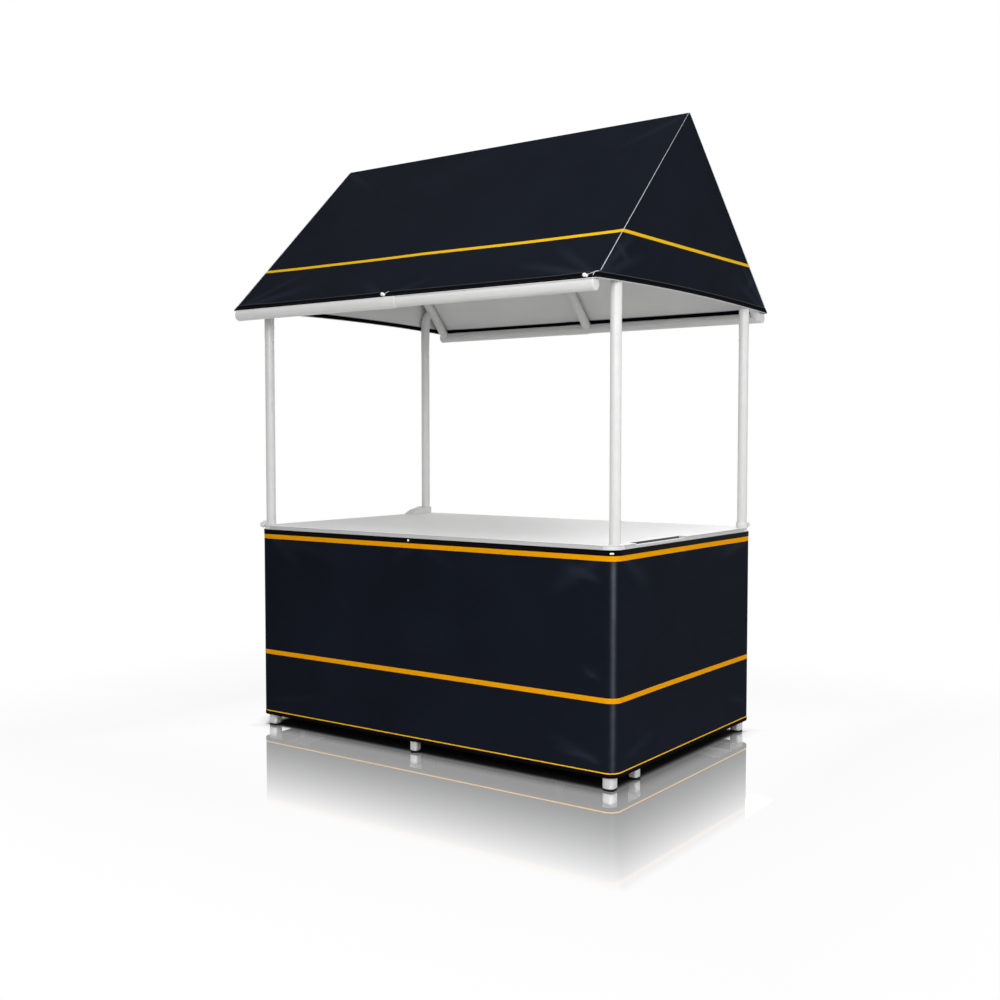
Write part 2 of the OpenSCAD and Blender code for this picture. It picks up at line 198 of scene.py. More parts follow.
class StallStageSettings(bpy.types.PropertyGroup):
    """Light and floor round the stall"""
    sky: bpy.props.FloatProperty(
        name="Sky", description="Strength of the even light from all round",
        default=0.32, min=0.0, max=2.0)
    key: bpy.props.FloatProperty(
        name="Key", description="Power of the soft light at the front right",
        default=40.0, min=0.0, max=2000.0, subtype="POWER")
    front: bpy.props.FloatProperty(
        name="Front", description="Power of the soft light in front",
        default=76.0, min=0.0, max=2000.0, subtype="POWER")
    fill: bpy.props.FloatProperty(
        name="Fill", description="Power of the weak light at the front left",
        default=9.0, min=0.0, max=2000.0, subtype="POWER")
    back: bpy.props.FloatProperty(
        name="Back", description="Power of the soft light behind",
        default=120.0, min=0.0, max=2000.0, subtype="POWER")
    top: bpy.props.FloatProperty(
        name="Top", description="Power of the soft light above",
        default=72.0, min=0.0, max=2000.0, subtype="POWER")
    side: bpy.props.FloatProperty(
        name="Side", description="Power of the tall narrow light at the right",
        default=14.0, min=0.0, max=2000.0, subtype="POWER")
    floor: bpy.props.FloatProperty(
        name="Floor Size", description="Side of the floor",
        default=120.0, min=10.0, max=400.0, unit="LENGTH")
    mirror: bpy.props.FloatProperty(
        name="Floor Mirror", description="How much of the floor is mirror, right beside the stall",
        default=0.68, min=0.0, max=1.0, subtype="FACTOR")
    mirror_front: bpy.props.FloatProperty(
        name="Mirror Reach in Front", description="How far the floor's mirror reaches in front and behind",
        default=0.80, min=0.1, max=10.0, unit="LENGTH")
    mirror_side: bpy.props.FloatProperty(
        name="Mirror Reach at the Ends", description="How far the floor's mirror reaches at the stall's ends",
        default=0.50, min=0.1, max=10.0, unit="LENGTH")


# ---- modelling by operators ------------------------------------------------------------

def let_go():
    """Leaves edit mode and deselects everything"""
    if bpy.context.object and bpy.context.object.mode != "OBJECT":
        bpy.ops.object.mode_set(mode="OBJECT")
    bpy.ops.object.select_all(action="DESELECT")


def take(*pieces):
    """Selects these pieces alone, the first of them active"""
    let_go()
    for piece in pieces:
        piece.select_set(True)
    bpy.context.view_layer.objects.active = pieces[0]


def named(name):
    """Names the new active object and its mesh"""
    piece = bpy.context.object
    piece.name = name
    piece.data.name = name
    return piece


def choose(piece, kind, test):
    """Selects the faces, edges or points that pass the test, and stays in edit mode.
    A test gets the middle of a face or edge and its normal or direction."""
    take(piece)
    bpy.ops.object.mode_set(mode="EDIT")
    bpy.ops.mesh.select_mode(type=kind)
    bpy.ops.mesh.select_all(action="DESELECT")
    bpy.ops.object.mode_set(mode="OBJECT")
    mesh = piece.data
    place = piece.matrix_world
    if kind == "FACE":
        for face in mesh.polygons:
            face.select = test(place @ face.center, face.normal)
    elif kind == "EDGE":
        for edge in mesh.edges:
            start, end = (place @ mesh.vertices[i].co for i in edge.vertices)
            edge.select = test((start + end) / 2, (end - start).normalized())
    else:
        for point in mesh.vertices:
            point.select = test(place @ point.co, point.normal)
    bpy.ops.object.mode_set(mode="EDIT")


def face_out(piece):
    """Turns the faces of a closed piece outwards"""
    take(piece)
    bpy.ops.object.mode_set(mode="EDIT")
    bpy.ops.mesh.select_all(action="SELECT")
    bpy.ops.mesh.normals_make_consistent(inside=False)
    bpy.ops.object.mode_set(mode="OBJECT")


def smooth(piece, angle=35):
    """Shades smoothly, and keeps edges sharper than the angle"""
    take(piece)
    bpy.ops.object.shade_smooth_by_angle(angle=math.radians(angle))


def settle(piece):
    """Puts a piece's place into its mesh"""
    take(piece)
    bpy.ops.object.transform_apply(location=True, rotation=True, scale=True)


def block(name, low, high):
    """A box from its lowest to its highest corner"""
    let_go()
    low, high = Vector(low), Vector(high)
    bpy.ops.mesh.primitive_cube_add(size=1.0, location=(low + high) / 2, scale=high - low)
    piece = named(name)
    settle(piece)
    return piece


def bevel(piece, width, segments, test):
    """Rounds the edges that pass the test"""
    choose(piece, "EDGE", test)
    bpy.ops.mesh.bevel(offset=width, segments=segments, affect="EDGES", offset_type="OFFSET")
    bpy.ops.object.mode_set(mode="OBJECT")


def turned(name, rings, place=Matrix.Identity(4), steps=48):
    """A turned solid along +Z: a disc at the first (radius, height), drawn through the others"""
    let_go()
    radius, height = rings[0]
    bpy.ops.mesh.primitive_circle_add(
        vertices=steps, radius=radius, fill_type="NGON", location=(0, 0, height))
    piece = named(name)
    settle(piece)
    bpy.ops.object.mode_set(mode="EDIT")
    bpy.ops.mesh.select_all(action="SELECT")
    for next_radius, next_height in rings[1:]:
        bpy.ops.mesh.extrude_region_move(
            TRANSFORM_OT_translate={"value": (0, 0, next_height - height)})
        grow = next_radius / radius
        bpy.ops.transform.resize(value=(grow, grow, 1), center_override=(0, 0, next_height))
        radius, height = next_radius, next_height
    bpy.ops.object.mode_set(mode="OBJECT")
    face_out(piece)
    piece.matrix_world = place
    settle(piece)
    return piece


def copies(piece, moves):
    """Copies a piece once for each further move, moves all of them and joins them into it"""
    made = [piece]
    for _ in moves[1:]:
        take(piece)
        bpy.ops.object.duplicate(linked=False)
        made.append(bpy.context.object)
    for each, move in zip(made, moves):
        each.matrix_world = move if isinstance(move, Matrix) else Matrix.Translation(move)
        settle(each)
    take(*made)
    bpy.ops.object.join()
    return piece


def apply_modifiers(piece):
    """Applies every modifier of a piece, in order"""
    take(piece)
    for modifier in list(piece.modifiers):
        bpy.ops.object.modifier_apply(modifier=modifier.name)


def cut(piece, cutter, operation="DIFFERENCE"):
    """Cuts one piece out of another, or keeps what both hold, and removes the cutter"""
    modifier = piece.modifiers.new("Cut", "BOOLEAN")
    modifier.operation = operation
    modifier.solver = "EXACT"
    modifier.object = cutter
    apply_modifiers(piece)
    take(cutter)
    bpy.ops.object.delete()


def from_to(start, end):
    """The place of a thing along +Z that runs from one point to another"""
    start, end = Vector(start), Vector(end)
    turn = (end - start).to_track_quat("Z", "Y").to_matrix().to_4x4()
    return Matrix.Translation(start) @ turn


def mesh_of(name, points, faces):
    """A mesh object from its points and faces"""
    mesh = bpy.data.meshes.new(name)
    mesh.from_pydata([tuple(p) for p in points], [], faces)
    piece = bpy.data.objects.new(name, mesh)
    bpy.context.scene.collection.objects.link(piece)
    return piece


def tube_along(name, paths, radius, sides=8, closed=False, taper=(1.0, 1.0)):
    """Round tubes along lists of points, as one mesh; a taper scales their first and last radius"""
    let_go()
    curve = bpy.data.curves.new(name, "CURVE")
    curve.dimensions = "3D"
    curve.bevel_depth = radius
    curve.bevel_resolution = max(0, sides // 2 - 2)
    curve.use_fill_caps = not closed
    for path in paths:
        spline = curve.splines.new("POLY")
        spline.points.add(len(path) - 1)
        for index, (point, place) in enumerate(zip(spline.points, path)):
            point.co = (*place, 1.0)
            point.radius = taper[0] + (taper[1] - taper[0]) * index / (len(path) - 1)
        spline.use_cyclic_u = closed
    piece = bpy.data.objects.new(name, curve)
    bpy.context.scene.collection.objects.link(piece)
    take(piece)
    bpy.ops.object.convert(target="MESH")
    piece = named(name)
    smooth(piece, 60)
    return piece


def finish_piece(piece, slot, *materials, replaces=()):
    """Gives a piece its materials and its body, and hides the nodes that it stands for. The slot is not used.
    """
    for material in materials:
        piece.data.materials.append(material)
    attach(piece, BODY)
    if replaces:
        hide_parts(*replaces)
    return piece


# ---- material nodes -------------------------------------------------------------------------

def node(tree, kind, values=None, **settings):
    """A node with its settings, and its inputs as numbers, colours or links"""
    made = tree.nodes.new(kind)
    for key, value in settings.items():
        setattr(made, key, value)
    for key, value in (values or {}).items():
        if isinstance(value, bpy.types.NodeSocket):
            tree.links.new(value, made.inputs[key])
        else:
            made.inputs[key].default_value = value
    return made


def calc(tree, operation, first, second=0.0, third=0.0):
    """A math node's result"""
    return node(tree, "ShaderNodeMath", {0: first, 1: second, 2: third}, operation=operation).outputs[0]


def blend_colour(tree, amount, first, second, mode="MIX"):
    """Two colours mixed by an amount"""
    mix = node(tree, "ShaderNodeMix", data_type="RGBA", blend_type=mode)
    for socket, value in ((mix.inputs[0], amount), (mix.inputs[6], first), (mix.inputs[7], second)):
        if isinstance(value, bpy.types.NodeSocket):
            tree.links.new(value, socket)
        else:
            socket.default_value = value
    return mix.outputs[2]


def rgba(colour, level=1.0):
    """A colour with its alpha, brighter or darker by a level"""
    return (colour[0] * level, colour[1] * level, colour[2] * level, 1.0)


def new_finish(name):
    """An empty material with a Principled shader: its material, tree and shader"""
    material = bpy.data.materials.new(name)
    material.use_nodes = True
    tree = material.node_tree
    tree.nodes.clear()
    shader = node(tree, "ShaderNodeBsdfPrincipled")
    node(tree, "ShaderNodeOutputMaterial", {"Surface": shader.outputs[0]})
    return material, tree, shader


def object_place(tree):
    """Object coordinates"""
    return node(tree, "ShaderNodeTexCoord").outputs["Object"]


def speckle(tree, place, scale, detail=2.0, roughness=0.5):
    """A noise value from 0 to 1"""
    return node(tree, "ShaderNodeTexNoise", {
        "Vector": place, "Scale": scale, "Detail": detail, "Roughness": roughness}).outputs[0]


def spread(tree, value, low, high):
    """A noise value brought from its usual range to one between low and high"""
    return node(tree, "ShaderNodeMapRange", {
        "Value": value, "From Min": 0.3, "From Max": 0.7, "To Min": low, "To Max": high}).outputs[0]


def bump(tree, shader, height, distance, strength=1.0):
    """Drives a shader's normal from a height"""
    made = node(tree, "ShaderNodeBump", {"Height": height, "Distance": distance, "Strength": strength})
    tree.links.new(made.outputs[0], shader.inputs["Normal"])


def powder_finish(name, colour):
    """Powder coat: satin, with the fine pebble of cured powder and a trace of handling"""
    material, tree, shader = new_finish(name)
    place = object_place(tree)
    pebble = speckle(tree, place, 900.0, 1.0)
    handling = speckle(tree, place, 14.0, 4.0, 0.6)
    tint = blend_colour(tree, spread(tree, handling, 0.0, 1.0), rgba(colour, 0.97), rgba(colour, 1.02))
    tree.links.new(tint, shader.inputs["Base Color"])
    tree.links.new(spread(tree, handling, 0.40, 0.28), shader.inputs["Roughness"])
    shader.inputs["Specular IOR Level"].default_value = 0.5
    bump(tree, shader, pebble, 0.00012, 0.35)
    return material


def board_finish(colour, name="counter_laminate"):
    """Laminate board: satin, with a fine mottle and faint rubbing from use"""
    material, tree, shader = new_finish(name)
    place = object_place(tree)
    mottle = speckle(tree, place, 260.0, 3.0, 0.6)
    stretched = node(tree, "ShaderNodeMapping", {"Vector": place, "Scale": (6.0, 1.2, 6.0)}).outputs[0]
    rubbing = speckle(tree, stretched, 7.0, 5.0, 0.65)
    tint = blend_colour(tree, spread(tree, mottle, 0.0, 1.0), rgba(colour, 0.985), rgba(colour, 1.015))
    tint = blend_colour(tree, spread(tree, rubbing, 0.0, 0.35), tint, rgba(colour, 0.95))
    tree.links.new(tint, shader.inputs["Base Color"])
    tree.links.new(spread(tree, rubbing, 0.42, 0.54), shader.inputs["Roughness"])
    shader.inputs["IOR"].default_value = 1.10
    bump(tree, shader, mottle, 0.00008, 0.3)
    return material


def weave(tree, place, pitch):
    """Height of a plain weave whose threads lie along U and V"""
    scale = math.pi / pitch
    split = node(tree, "ShaderNodeSeparateXYZ", {"Vector": place})
    across = calc(tree, "SINE", calc(tree, "MULTIPLY", split.outputs[0], scale))
    along = calc(tree, "SINE", calc(tree, "MULTIPLY", split.outputs[1], scale))
    return calc(tree, "MULTIPLY", across, along)


def band(tree, value, middle, width):
    """1 inside a band round a middle, 0 outside"""
    return calc(tree, "COMPARE", value, middle, width / 2)


def cloth_finish(name, colour, layers, pitch=0.0007, rough=0.55):
    """Woven polyester with a print, and a painted sheen along its creases. Each layer is a function of the
    tree and the two print coordinates that gives a mask, and the colour that goes there."""
    material, tree, shader = new_finish(name)
    threads = node(tree, "ShaderNodeUVMap", uv_map="weave").outputs[0]
    printed = node(tree, "ShaderNodeUVMap", uv_map="print").outputs[0]
    split = node(tree, "ShaderNodeSeparateXYZ", {"Vector": printed})
    height = weave(tree, threads, pitch)
    place = object_place(tree)
    broad = speckle(tree, place, 3.2, 3.0, 0.5)
    slub = speckle(tree, node(tree, "ShaderNodeMapping", {
        "Vector": threads, "Scale": (40.0, 900.0, 1.0)}).outputs[0], 1.0, 2.0)
    tint = blend_colour(tree, spread(tree, broad, 0.0, 1.0), rgba(colour, 0.86), rgba(colour, 1.16))
    tint = blend_colour(tree, spread(tree, slub, 0.0, 0.5), tint, rgba(colour, 1.35))
    # Painted sheen: the cloth is lighter where the crease map says a crease stands out.
    creased = node(tree, "ShaderNodeSeparateXYZ", {
        "Vector": node(tree, "ShaderNodeUVMap", uv_map="crease").outputs[0]}).outputs[0]
    crease_sheen = node(tree, "ShaderNodeMapRange", {
        "Value": creased, "From Min": 0.05, "From Max": 1.1, "To Max": 0.95}).outputs[0]
    tint = blend_colour(tree, crease_sheen, tint, rgba(colour, 2.3))
    cover = None
    for mask_of, print_colour in layers:
        mask = mask_of(tree, split.outputs[0], split.outputs[1])
        ink = blend_colour(
            tree, spread(tree, slub, 0.0, 1.0), rgba(print_colour, 0.96), rgba(print_colour, 1.04))
        tint = blend_colour(tree, mask, tint, ink)
        cover = mask if cover is None else calc(tree, "MAXIMUM", cover, mask)
    tree.links.new(tint, shader.inputs["Base Color"])
    if cover is None:
        shader.inputs["Roughness"].default_value = rough
    else:
        tree.links.new(calc(tree, "SUBTRACT", rough, calc(tree, "MULTIPLY", cover, 0.14)),
                       shader.inputs["Roughness"])
    shader.inputs["IOR"].default_value = 1.04
    bump(tree, shader, height, 0.00012, 0.5)
    return material


def lining_finish(colour):
    """The coated inner face: pale grey, smoother than the weave outside"""
    material, tree, shader = new_finish("canopy_lining")
    threads = node(tree, "ShaderNodeUVMap", uv_map="weave").outputs[0]
    place = object_place(tree)
    broad = speckle(tree, place, 4.0, 3.0)
    tint = blend_colour(tree, spread(tree, broad, 0.0, 1.0), rgba(colour, 0.96), rgba(colour, 1.03))
    tree.links.new(tint, shader.inputs["Base Color"])
    shader.inputs["Roughness"].default_value = 0.62
    shader.inputs["Specular IOR Level"].default_value = 0.25
    bump(tree, shader, weave(tree, threads, 0.0007), 0.00006, 0.4)
    return material


def webbing_finish(name, colour, pitch=0.0011, rough=0.5, index=1.3):
    """Woven or moulded trim, ribbed finely; a low index keeps dark trim from shining"""
    material, tree, shader = new_finish(name)
    place = object_place(tree)
    ribs = speckle(tree, node(tree, "ShaderNodeMapping", {
        "Vector": place, "Scale": (1.0 / pitch, 1.0 / pitch, 1.6 / pitch)}).outputs[0], 1.0, 1.0)
    tint = blend_colour(tree, spread(tree, ribs, 0.0, 1.0), rgba(colour, 0.82), rgba(colour, 1.2))
    tree.links.new(tint, shader.inputs["Base Color"])
    shader.inputs["Roughness"].default_value = rough
    shader.inputs["IOR"].default_value = index
    bump(tree, shader, ribs, 0.0001, 0.4)
    return material


def silver_finish():
    """Light satin aluminium with faint brushing and dull patches"""
    material, tree, shader = new_finish("foot_aluminium")
    place = object_place(tree)
    brushed = speckle(tree, node(tree, "ShaderNodeMapping", {
        "Vector": place, "Scale": (30.0, 30.0, 1400.0)}).outputs[0], 1.0, 2.0)
    patches = speckle(tree, place, 60.0, 4.0, 0.6)
    tint = blend_colour(tree, spread(tree, patches, 0.0, 1.0), (0.52, 0.52, 0.53, 1), (0.62, 0.62, 0.62, 1))
    tree.links.new(tint, shader.inputs["Base Color"])
    shader.inputs["Metallic"].default_value = 0.25
    tree.links.new(spread(tree, patches, 0.38, 0.52), shader.inputs["Roughness"])
    bump(tree, shader, brushed, 0.00008, 0.3)
    return material


def rubber_finish():
    """Black moulded rubber, dusty where it stands"""
    material, tree, shader = new_finish("pad_moulding")
    place = object_place(tree)
    grain = speckle(tree, place, 700.0, 2.0)
    up = node(tree, "ShaderNodeSeparateXYZ", {"Vector": place}).outputs[2]
    dust = node(tree, "ShaderNodeMapRange", {
        "Value": up, "From Min": 0.0, "From Max": 0.004, "To Min": 0.5, "To Max": 0.0}).outputs[0]
    dusty = calc(tree, "MULTIPLY", dust, spread(tree, speckle(tree, place, 180.0, 3.0), 0.2, 1.0))
    tint = blend_colour(tree, dusty, (0.008, 0.008, 0.008, 1), (0.025, 0.024, 0.023, 1))
    tree.links.new(tint, shader.inputs["Base Color"])
    shader.inputs["Roughness"].default_value = 0.62
    shader.inputs["Specular IOR Level"].default_value = 0.15
    bump(tree, shader, grain, 0.0001, 0.4)
    return material


def plastic_finish(name, colour, rough=0.28):
    """White moulded plastic with a soft gloss and a faint moulding grain"""
    material, tree, shader = new_finish(name)
    place = object_place(tree)
    grain = speckle(tree, place, 1200.0, 1.0)
    cloudy = speckle(tree, place, 90.0, 3.0)
    tint = blend_colour(tree, spread(tree, cloudy, 0.0, 1.0), rgba(colour, 0.95), rgba(colour, 1.02))
    tree.links.new(tint, shader.inputs["Base Color"])
    tree.links.new(spread(tree, cloudy, rough, rough + 0.1), shader.inputs["Roughness"])
    bump(tree, shader, grain, 0.00006, 0.3)
    return material


FINISHES = {}


def make_finishes(context):
    """Makes the finishes that several pieces share"""
    looks = context.scene.stall_finish
    canopy = context.scene.stall_canopy
    skirt = context.scene.stall_skirt
    white = (0.86, 0.86, 0.85)

    def roof_stripe(tree, along, up):
        return band(tree, up, canopy.stripe_height, canopy.stripe_width)

    def upper_stripe(tree, along, up):
        middle = SKIRT_TOP - skirt.top_band - skirt.stripe_width / 2
        return band(tree, up, middle, skirt.stripe_width)

    def lower_stripe(tree, along, up):
        return band(tree, up, skirt.middle_stripe, skirt.stripe_width)

    def hem_line(tree, along, up):
        return band(tree, up, SKIRT_LOW + skirt.hem_band + skirt.line_width / 2, skirt.line_width)

    def corner_highlight(tree, along, up):
        """Painted highlight down the middle of each rounded corner of the skirt, strongest at the top"""
        total = None
        for middle in corner_distances():
            near = calc(tree, "DIVIDE", calc(tree, "SUBTRACT", along, middle), skirt.highlight_width)
            near = calc(tree, "EXPONENT", calc(tree, "MULTIPLY", calc(tree, "MULTIPLY", near, near), -1.0))
            total = near if total is None else calc(tree, "ADD", total, near)
        strong = node(tree, "ShaderNodeMapRange", {
            "Value": up, "From Min": SKIRT_LOW, "From Max": SKIRT_TOP,
            "To Min": 0.32, "To Max": 0.80}).outputs[0]
        patchy = spread(tree, speckle(tree, object_place(tree), 22.0, 3.0), 0.75, 1.1)
        return calc(tree, "MULTIPLY", calc(tree, "MULTIPLY", total, strong), patchy)

    FINISHES["powder"] = powder_finish("powder_coat", looks.powder)
    FINISHES["board"] = board_finish(looks.board)
    # The grey on the board's outer edge is painted shade.
    FINISHES["edge_band"] = board_finish((0.56, 0.56, 0.565), "counter_edge_band")
    FINISHES["canopy"] = cloth_finish("canopy_cloth_print", looks.navy, [(roof_stripe, looks.amber)])
    FINISHES["lining"] = lining_finish(looks.lining)
    # The skirt's first layer is a painted highlight down each rounded corner.
    FINISHES["skirt"] = cloth_finish("skirt_cloth_print", looks.navy, [
        (corner_highlight, (0.105, 0.110, 0.135)), (upper_stripe, looks.orange),
        (lower_stripe, looks.orange), (hem_line, looks.yellow)])
    FINISHES["binding"] = webbing_finish("black_binding", looks.binding, 0.0011, 0.6, 1.03)
    FINISHES["edge"] = webbing_finish("black_edge_trim", looks.binding, 0.002, 0.3, 1.06)
    FINISHES["thread"] = webbing_finish("grey_thread", looks.thread, 0.0006, 0.6, 1.04)
    FINISHES["welt"] = webbing_finish("grey_welt", (0.085, 0.088, 0.096), 0.0009, 0.6, 1.05)
    FINISHES["piping"] = webbing_finish("grey_piping", looks.piping, 0.0012, 0.5, 1.3)
    # The groove's dark strip is painted shade.
    FINISHES["seal"] = webbing_finish("groove_seal_rubber", (0.10, 0.10, 0.10), 0.0015, 0.5, 1.1)
    FINISHES["silver"] = silver_finish()
    FINISHES["rubber"] = rubber_finish()
    FINISHES["plastic"] = plastic_finish("white_plastic", white)
    FINISHES["elastic"] = webbing_finish("white_elastic", (0.7, 0.7, 0.7), 0.0009, 0.6, 1.3)


# ---- cloth shapes -----------------------------------------------------------------------------

def ease(value, start, end):
    """0 before start, 1 after end, and smooth between them"""
    part = min(1.0, max(0.0, (value - start) / (end - start)))
    return part * part * (3 - 2 * part)


def pull(u, v, start, end, width):
    """A pull in stretched cloth: a soft ridge from one point towards another that dies away"""
    ax, ay = start
    bx, by = end
    length = math.hypot(bx - ax, by - ay)
    dx, dy = (bx - ax) / length, (by - ay) / length
    along = (u - ax) * dx + (v - ay) * dy
    across = (v - ay) * dx - (u - ax) * dy
    part = along / length
    if part <= -0.15 or part >= 1.15:
        return 0.0
    strong = ease(part, -0.15, 0.2) * (1.0 - ease(part, 0.35, 1.15))
    swell = width * (0.6 + 0.8 * max(0.0, part))
    return strong * math.exp(-(across / swell) ** 2)


def add_uv(piece, name, values):
    """A UV map from one pair of values for each point of the mesh"""
    layer = piece.data.uv_layers.new(name=name)
    for loop in piece.data.loops:
        layer.data[loop.index].uv = values[loop.vertex_index]


def stitch_row(points, normals, pitch=0.005, length=0.0038, radius=0.00055, closed=False):
    """Stitches along a line on cloth: points and faces of small bars that dip in at both ends"""
    line = [Vector(p) for p in points]
    ups = [Vector(n) for n in normals]
    if closed:
        line.append(line[0])
        ups.append(ups[0])
    reach = [0.0]
    for start, end in zip(line, line[1:]):
        reach.append(reach[-1] + (end - start).length)
    count = int(reach[-1] / pitch)
    made, faces = [], []
    span = 0

    def spot(distance):
        nonlocal span
        while span < len(line) - 2 and reach[span + 1] < distance:
            span += 1
        run = reach[span + 1] - reach[span] or 1.0
        part = (distance - reach[span]) / run
        return line[span].lerp(line[span + 1], part), ups[span].lerp(ups[span + 1], part).normalized()

    sides = 5
    for index in range(count):
        first = (index + 0.5) * reach[-1] / count - length / 2
        base = len(made)
        for part, lift, size in ((0.0, -0.6, 0.45), (0.25, 0.35, 1.0), (0.75, 0.35, 1.0), (1.0, -0.6, 0.45)):
            middle, up = spot(max(0.0, first + part * length))
            ahead, _ = spot(max(0.0, first + part * length) + 0.0005)
            along = (ahead - middle).normalized()
            side = along.cross(up).normalized()
            middle = middle + up * radius * lift
            for step in range(sides):
                turn = 2 * math.pi * step / sides
                offset = side * math.cos(turn) + up * math.sin(turn)
                made.append(middle + offset * radius * size)
            span = max(0, span - 3)
        for ring in range(3):
            for step in range(sides):
                near = base + ring * sides
                over = (step + 1) % sides
                faces.append((near + step, near + over, near + sides + over, near + sides + step))
        faces.append(tuple(base + step for step in reversed(range(sides))))
        faces.append(tuple(base + 3 * sides + step for step in range(sides)))
    return made, faces


def stitch_piece(name, rows):
    """One mesh of several rows of stitches"""
    points, faces = [], []
    for row in rows:
        more, quads = stitch_row(**row)
        base = len(points)
        points.extend(more)
        faces.extend(tuple(base + i for i in quad) for quad in quads)
    piece = mesh_of(name, points, faces)
    face_out(piece)
    smooth(piece, 50)
    return piece


# ---- canopy -----------------------------------------------------------------------------------

RIDGE_ROUND = 0.003                      # the ridge is rounded off by this much


def roof_line(down):
    """Distance from the middle, and height, of the roof at a distance down from the ridge"""
    drop = down * math.sin(SLOPE)
    return down * math.cos(SLOPE), APEX_Z - math.sqrt(drop * drop + RIDGE_ROUND * RIDGE_ROUND)


def half_at(height):
    """Half the canopy's length at a height"""
    return HALF_LENGTH - LEAN * (height - HEM_Z)


def slope_creases(x, down):
    """How strongly a slope is creased at a place: 0 for not at all"""
    ripple = 0.0
    for sign in SIGNS:
        corner = (sign * HALF_LENGTH, SLOPE_RUN)
        ripple += pull(x, down, corner, (sign * (HALF_LENGTH - 0.42), SLOPE_RUN - 0.13), 0.020)
        ripple += 0.7 * pull(x, down, corner, (sign * (HALF_LENGTH - 0.30), SLOPE_RUN - 0.24), 0.018)
        ripple += 0.5 * pull(x, down, (sign * HALF_LENGTH, 0.0), (sign * (HALF_LENGTH - 0.3), 0.22), 0.020)
    ripple += 0.6 * pull(x, down, (-0.06, SLOPE_RUN), (-0.26, SLOPE_RUN - 0.12), 0.018)
    ripple += 0.6 * pull(x, down, (-0.06, SLOPE_RUN), (0.16, SLOPE_RUN - 0.10), 0.018)
    return ripple


def slope_dent(x, y_sign, down, settings):
    """How far a slope stands in from its plane"""
    part = down / SLOPE_RUN
    between = abs(math.sin(math.pi * x / POST_X)) if abs(x) < POST_X else 0.0
    sag = settings.sag * between ** 0.8 * math.sin(math.pi * min(1.0, part)) ** 0.7
    rest = 0.0008 * math.sin(math.pi * min(1.0, part)) ** 0.4
    ripple = slope_creases(x, down)
    slow = noise.noise(Vector((x * 3.1, down * 4.0, 5.0 * y_sign))) * math.sin(math.pi * min(1.0, part))
    return sag + rest - 0.0026 * ripple + 0.0014 * slow


def gable_creases(y, height):
    """How strongly a gable is creased at a place: 0 for not at all"""
    ripple = 0.0
    for sign in SIGNS:
        corner = (sign * HEM_Y, HEM_Z)
        ripple += pull(y, height, corner, (sign * (HEM_Y - 0.30), HEM_Z + 0.21), 0.016)
        ripple += 0.8 * pull(y, height, corner, (sign * (HEM_Y - 0.36), HEM_Z + 0.12), 0.016)
        ripple += 0.5 * pull(y, height, corner, (sign * (HEM_Y - 0.20), HEM_Z + 0.26), 0.014)
        ripple += 1.3 * pull(y, height, (sign * (HEM_Y - 0.115), HEM_Z + 0.150),
                             (sign * (HEM_Y - 0.235), HEM_Z + 0.07), 0.011)
    return ripple


def gable_dent(across, height, part, x_sign, settings):
    """How far a gable stands in from its plane; across is from -1 to 1, part from the apex down"""
    y = across * HEM_Y * part
    dish = 0.55 * settings.sag * (1 - across * across) * math.sin(math.pi * min(1.0, part * 0.93)) ** 0.8
    ripple = gable_creases(y, height)
    inner = (1 - across * across) * math.sin(math.pi * min(1.0, part)) ** 0.5 if part > 0 else 0.0
    slow = noise.noise(Vector((y * 3.6, height * 3.6, 9.0 * x_sign))) * inner
    return dish - 0.0028 * ripple * (1 - abs(across) ** 6) + 0.0014 * slow


def canopy_place(side, along, down, settings, lift=0.0):
    """A point on the canopy, its normal and its print coordinates.
    side is front, right, rear or left; along runs from 0 to 1 round the stall."""
    middle, height = roof_line(down)
    part = min(1.0, down / SLOPE_RUN)
    if side in ("front", "rear"):
        y_sign = -1 if side == "front" else 1
        x = half_at(height) * (2 * along - 1) * -y_sign
        normal = Vector((0.0, y_sign * math.sin(SLOPE), math.cos(SLOPE)))
        dent = slope_dent(x, y_sign, down, settings) * ease(down, 0.0, 0.06)
        dent *= 1.0 - 0.85 * ease(abs(x), half_at(height) - 0.03, half_at(height))
        point = Vector((x, y_sign * middle, height))
        return point + normal * (lift - dent), normal, (x, height)
    x_sign = 1 if side == "right" else -1
    across = (2 * along - 1) * x_sign
    arch = GABLE_ARCH * (1 - across * across) * max(0.0, down / SLOPE_RUN) ** 5
    normal = Vector((x_sign, 0.0, LEAN)).normalized()
    dent = gable_dent(across, height, part, x_sign, settings) * (1.0 - 0.9 * ease(abs(across), 0.97, 1.0))
    point = Vector((x_sign * half_at(height + arch), across * middle, height + arch))
    return point + normal * (lift - dent), normal, (across * middle, height + arch)


CANOPY_SIDES = ("front", "right", "rear", "left")


def side_steps(side):
    """The steps along one side of the canopy, closer together at its ends"""
    count = 112 if side in ("front", "rear") else 88
    plain = [i / count for i in range(count + 1)]
    return [p - 0.10 * math.sin(2 * math.pi * p) / (2 * math.pi) for p in plain]


def canopy_ring(down, settings, lift=0.0):
    """The closed line round the canopy at a distance down from the ridge:
    points, normals, print coordinates, thread coordinates and creases"""
    ring = []
    for side in CANOPY_SIDES:
        steps = side_steps(side)
        for along in steps[:-1]:
            point, normal, printed = canopy_place(side, along, down, settings, lift)
            if along == 0.0:
                before = CANOPY_SIDES[CANOPY_SIDES.index(side) - 1]
                other, other_normal, _ = canopy_place(before, 1.0, down, settings, lift)
                point = (point + other) / 2
                normal = (normal + other_normal).normalized()
                if lift:
                    edge, _, _ = canopy_place(side, along, down, settings, 0.0)
                    point = edge + normal * lift * 1.25
            if side in ("front", "rear"):
                creases = slope_creases(point.x, down)
            else:
                creases = gable_creases(point.y, point.z)
            threads = (printed[0] + 3.0 * CANOPY_SIDES.index(side), down)
            ring.append((point, normal, printed, threads, (creases, down)))
    return ring


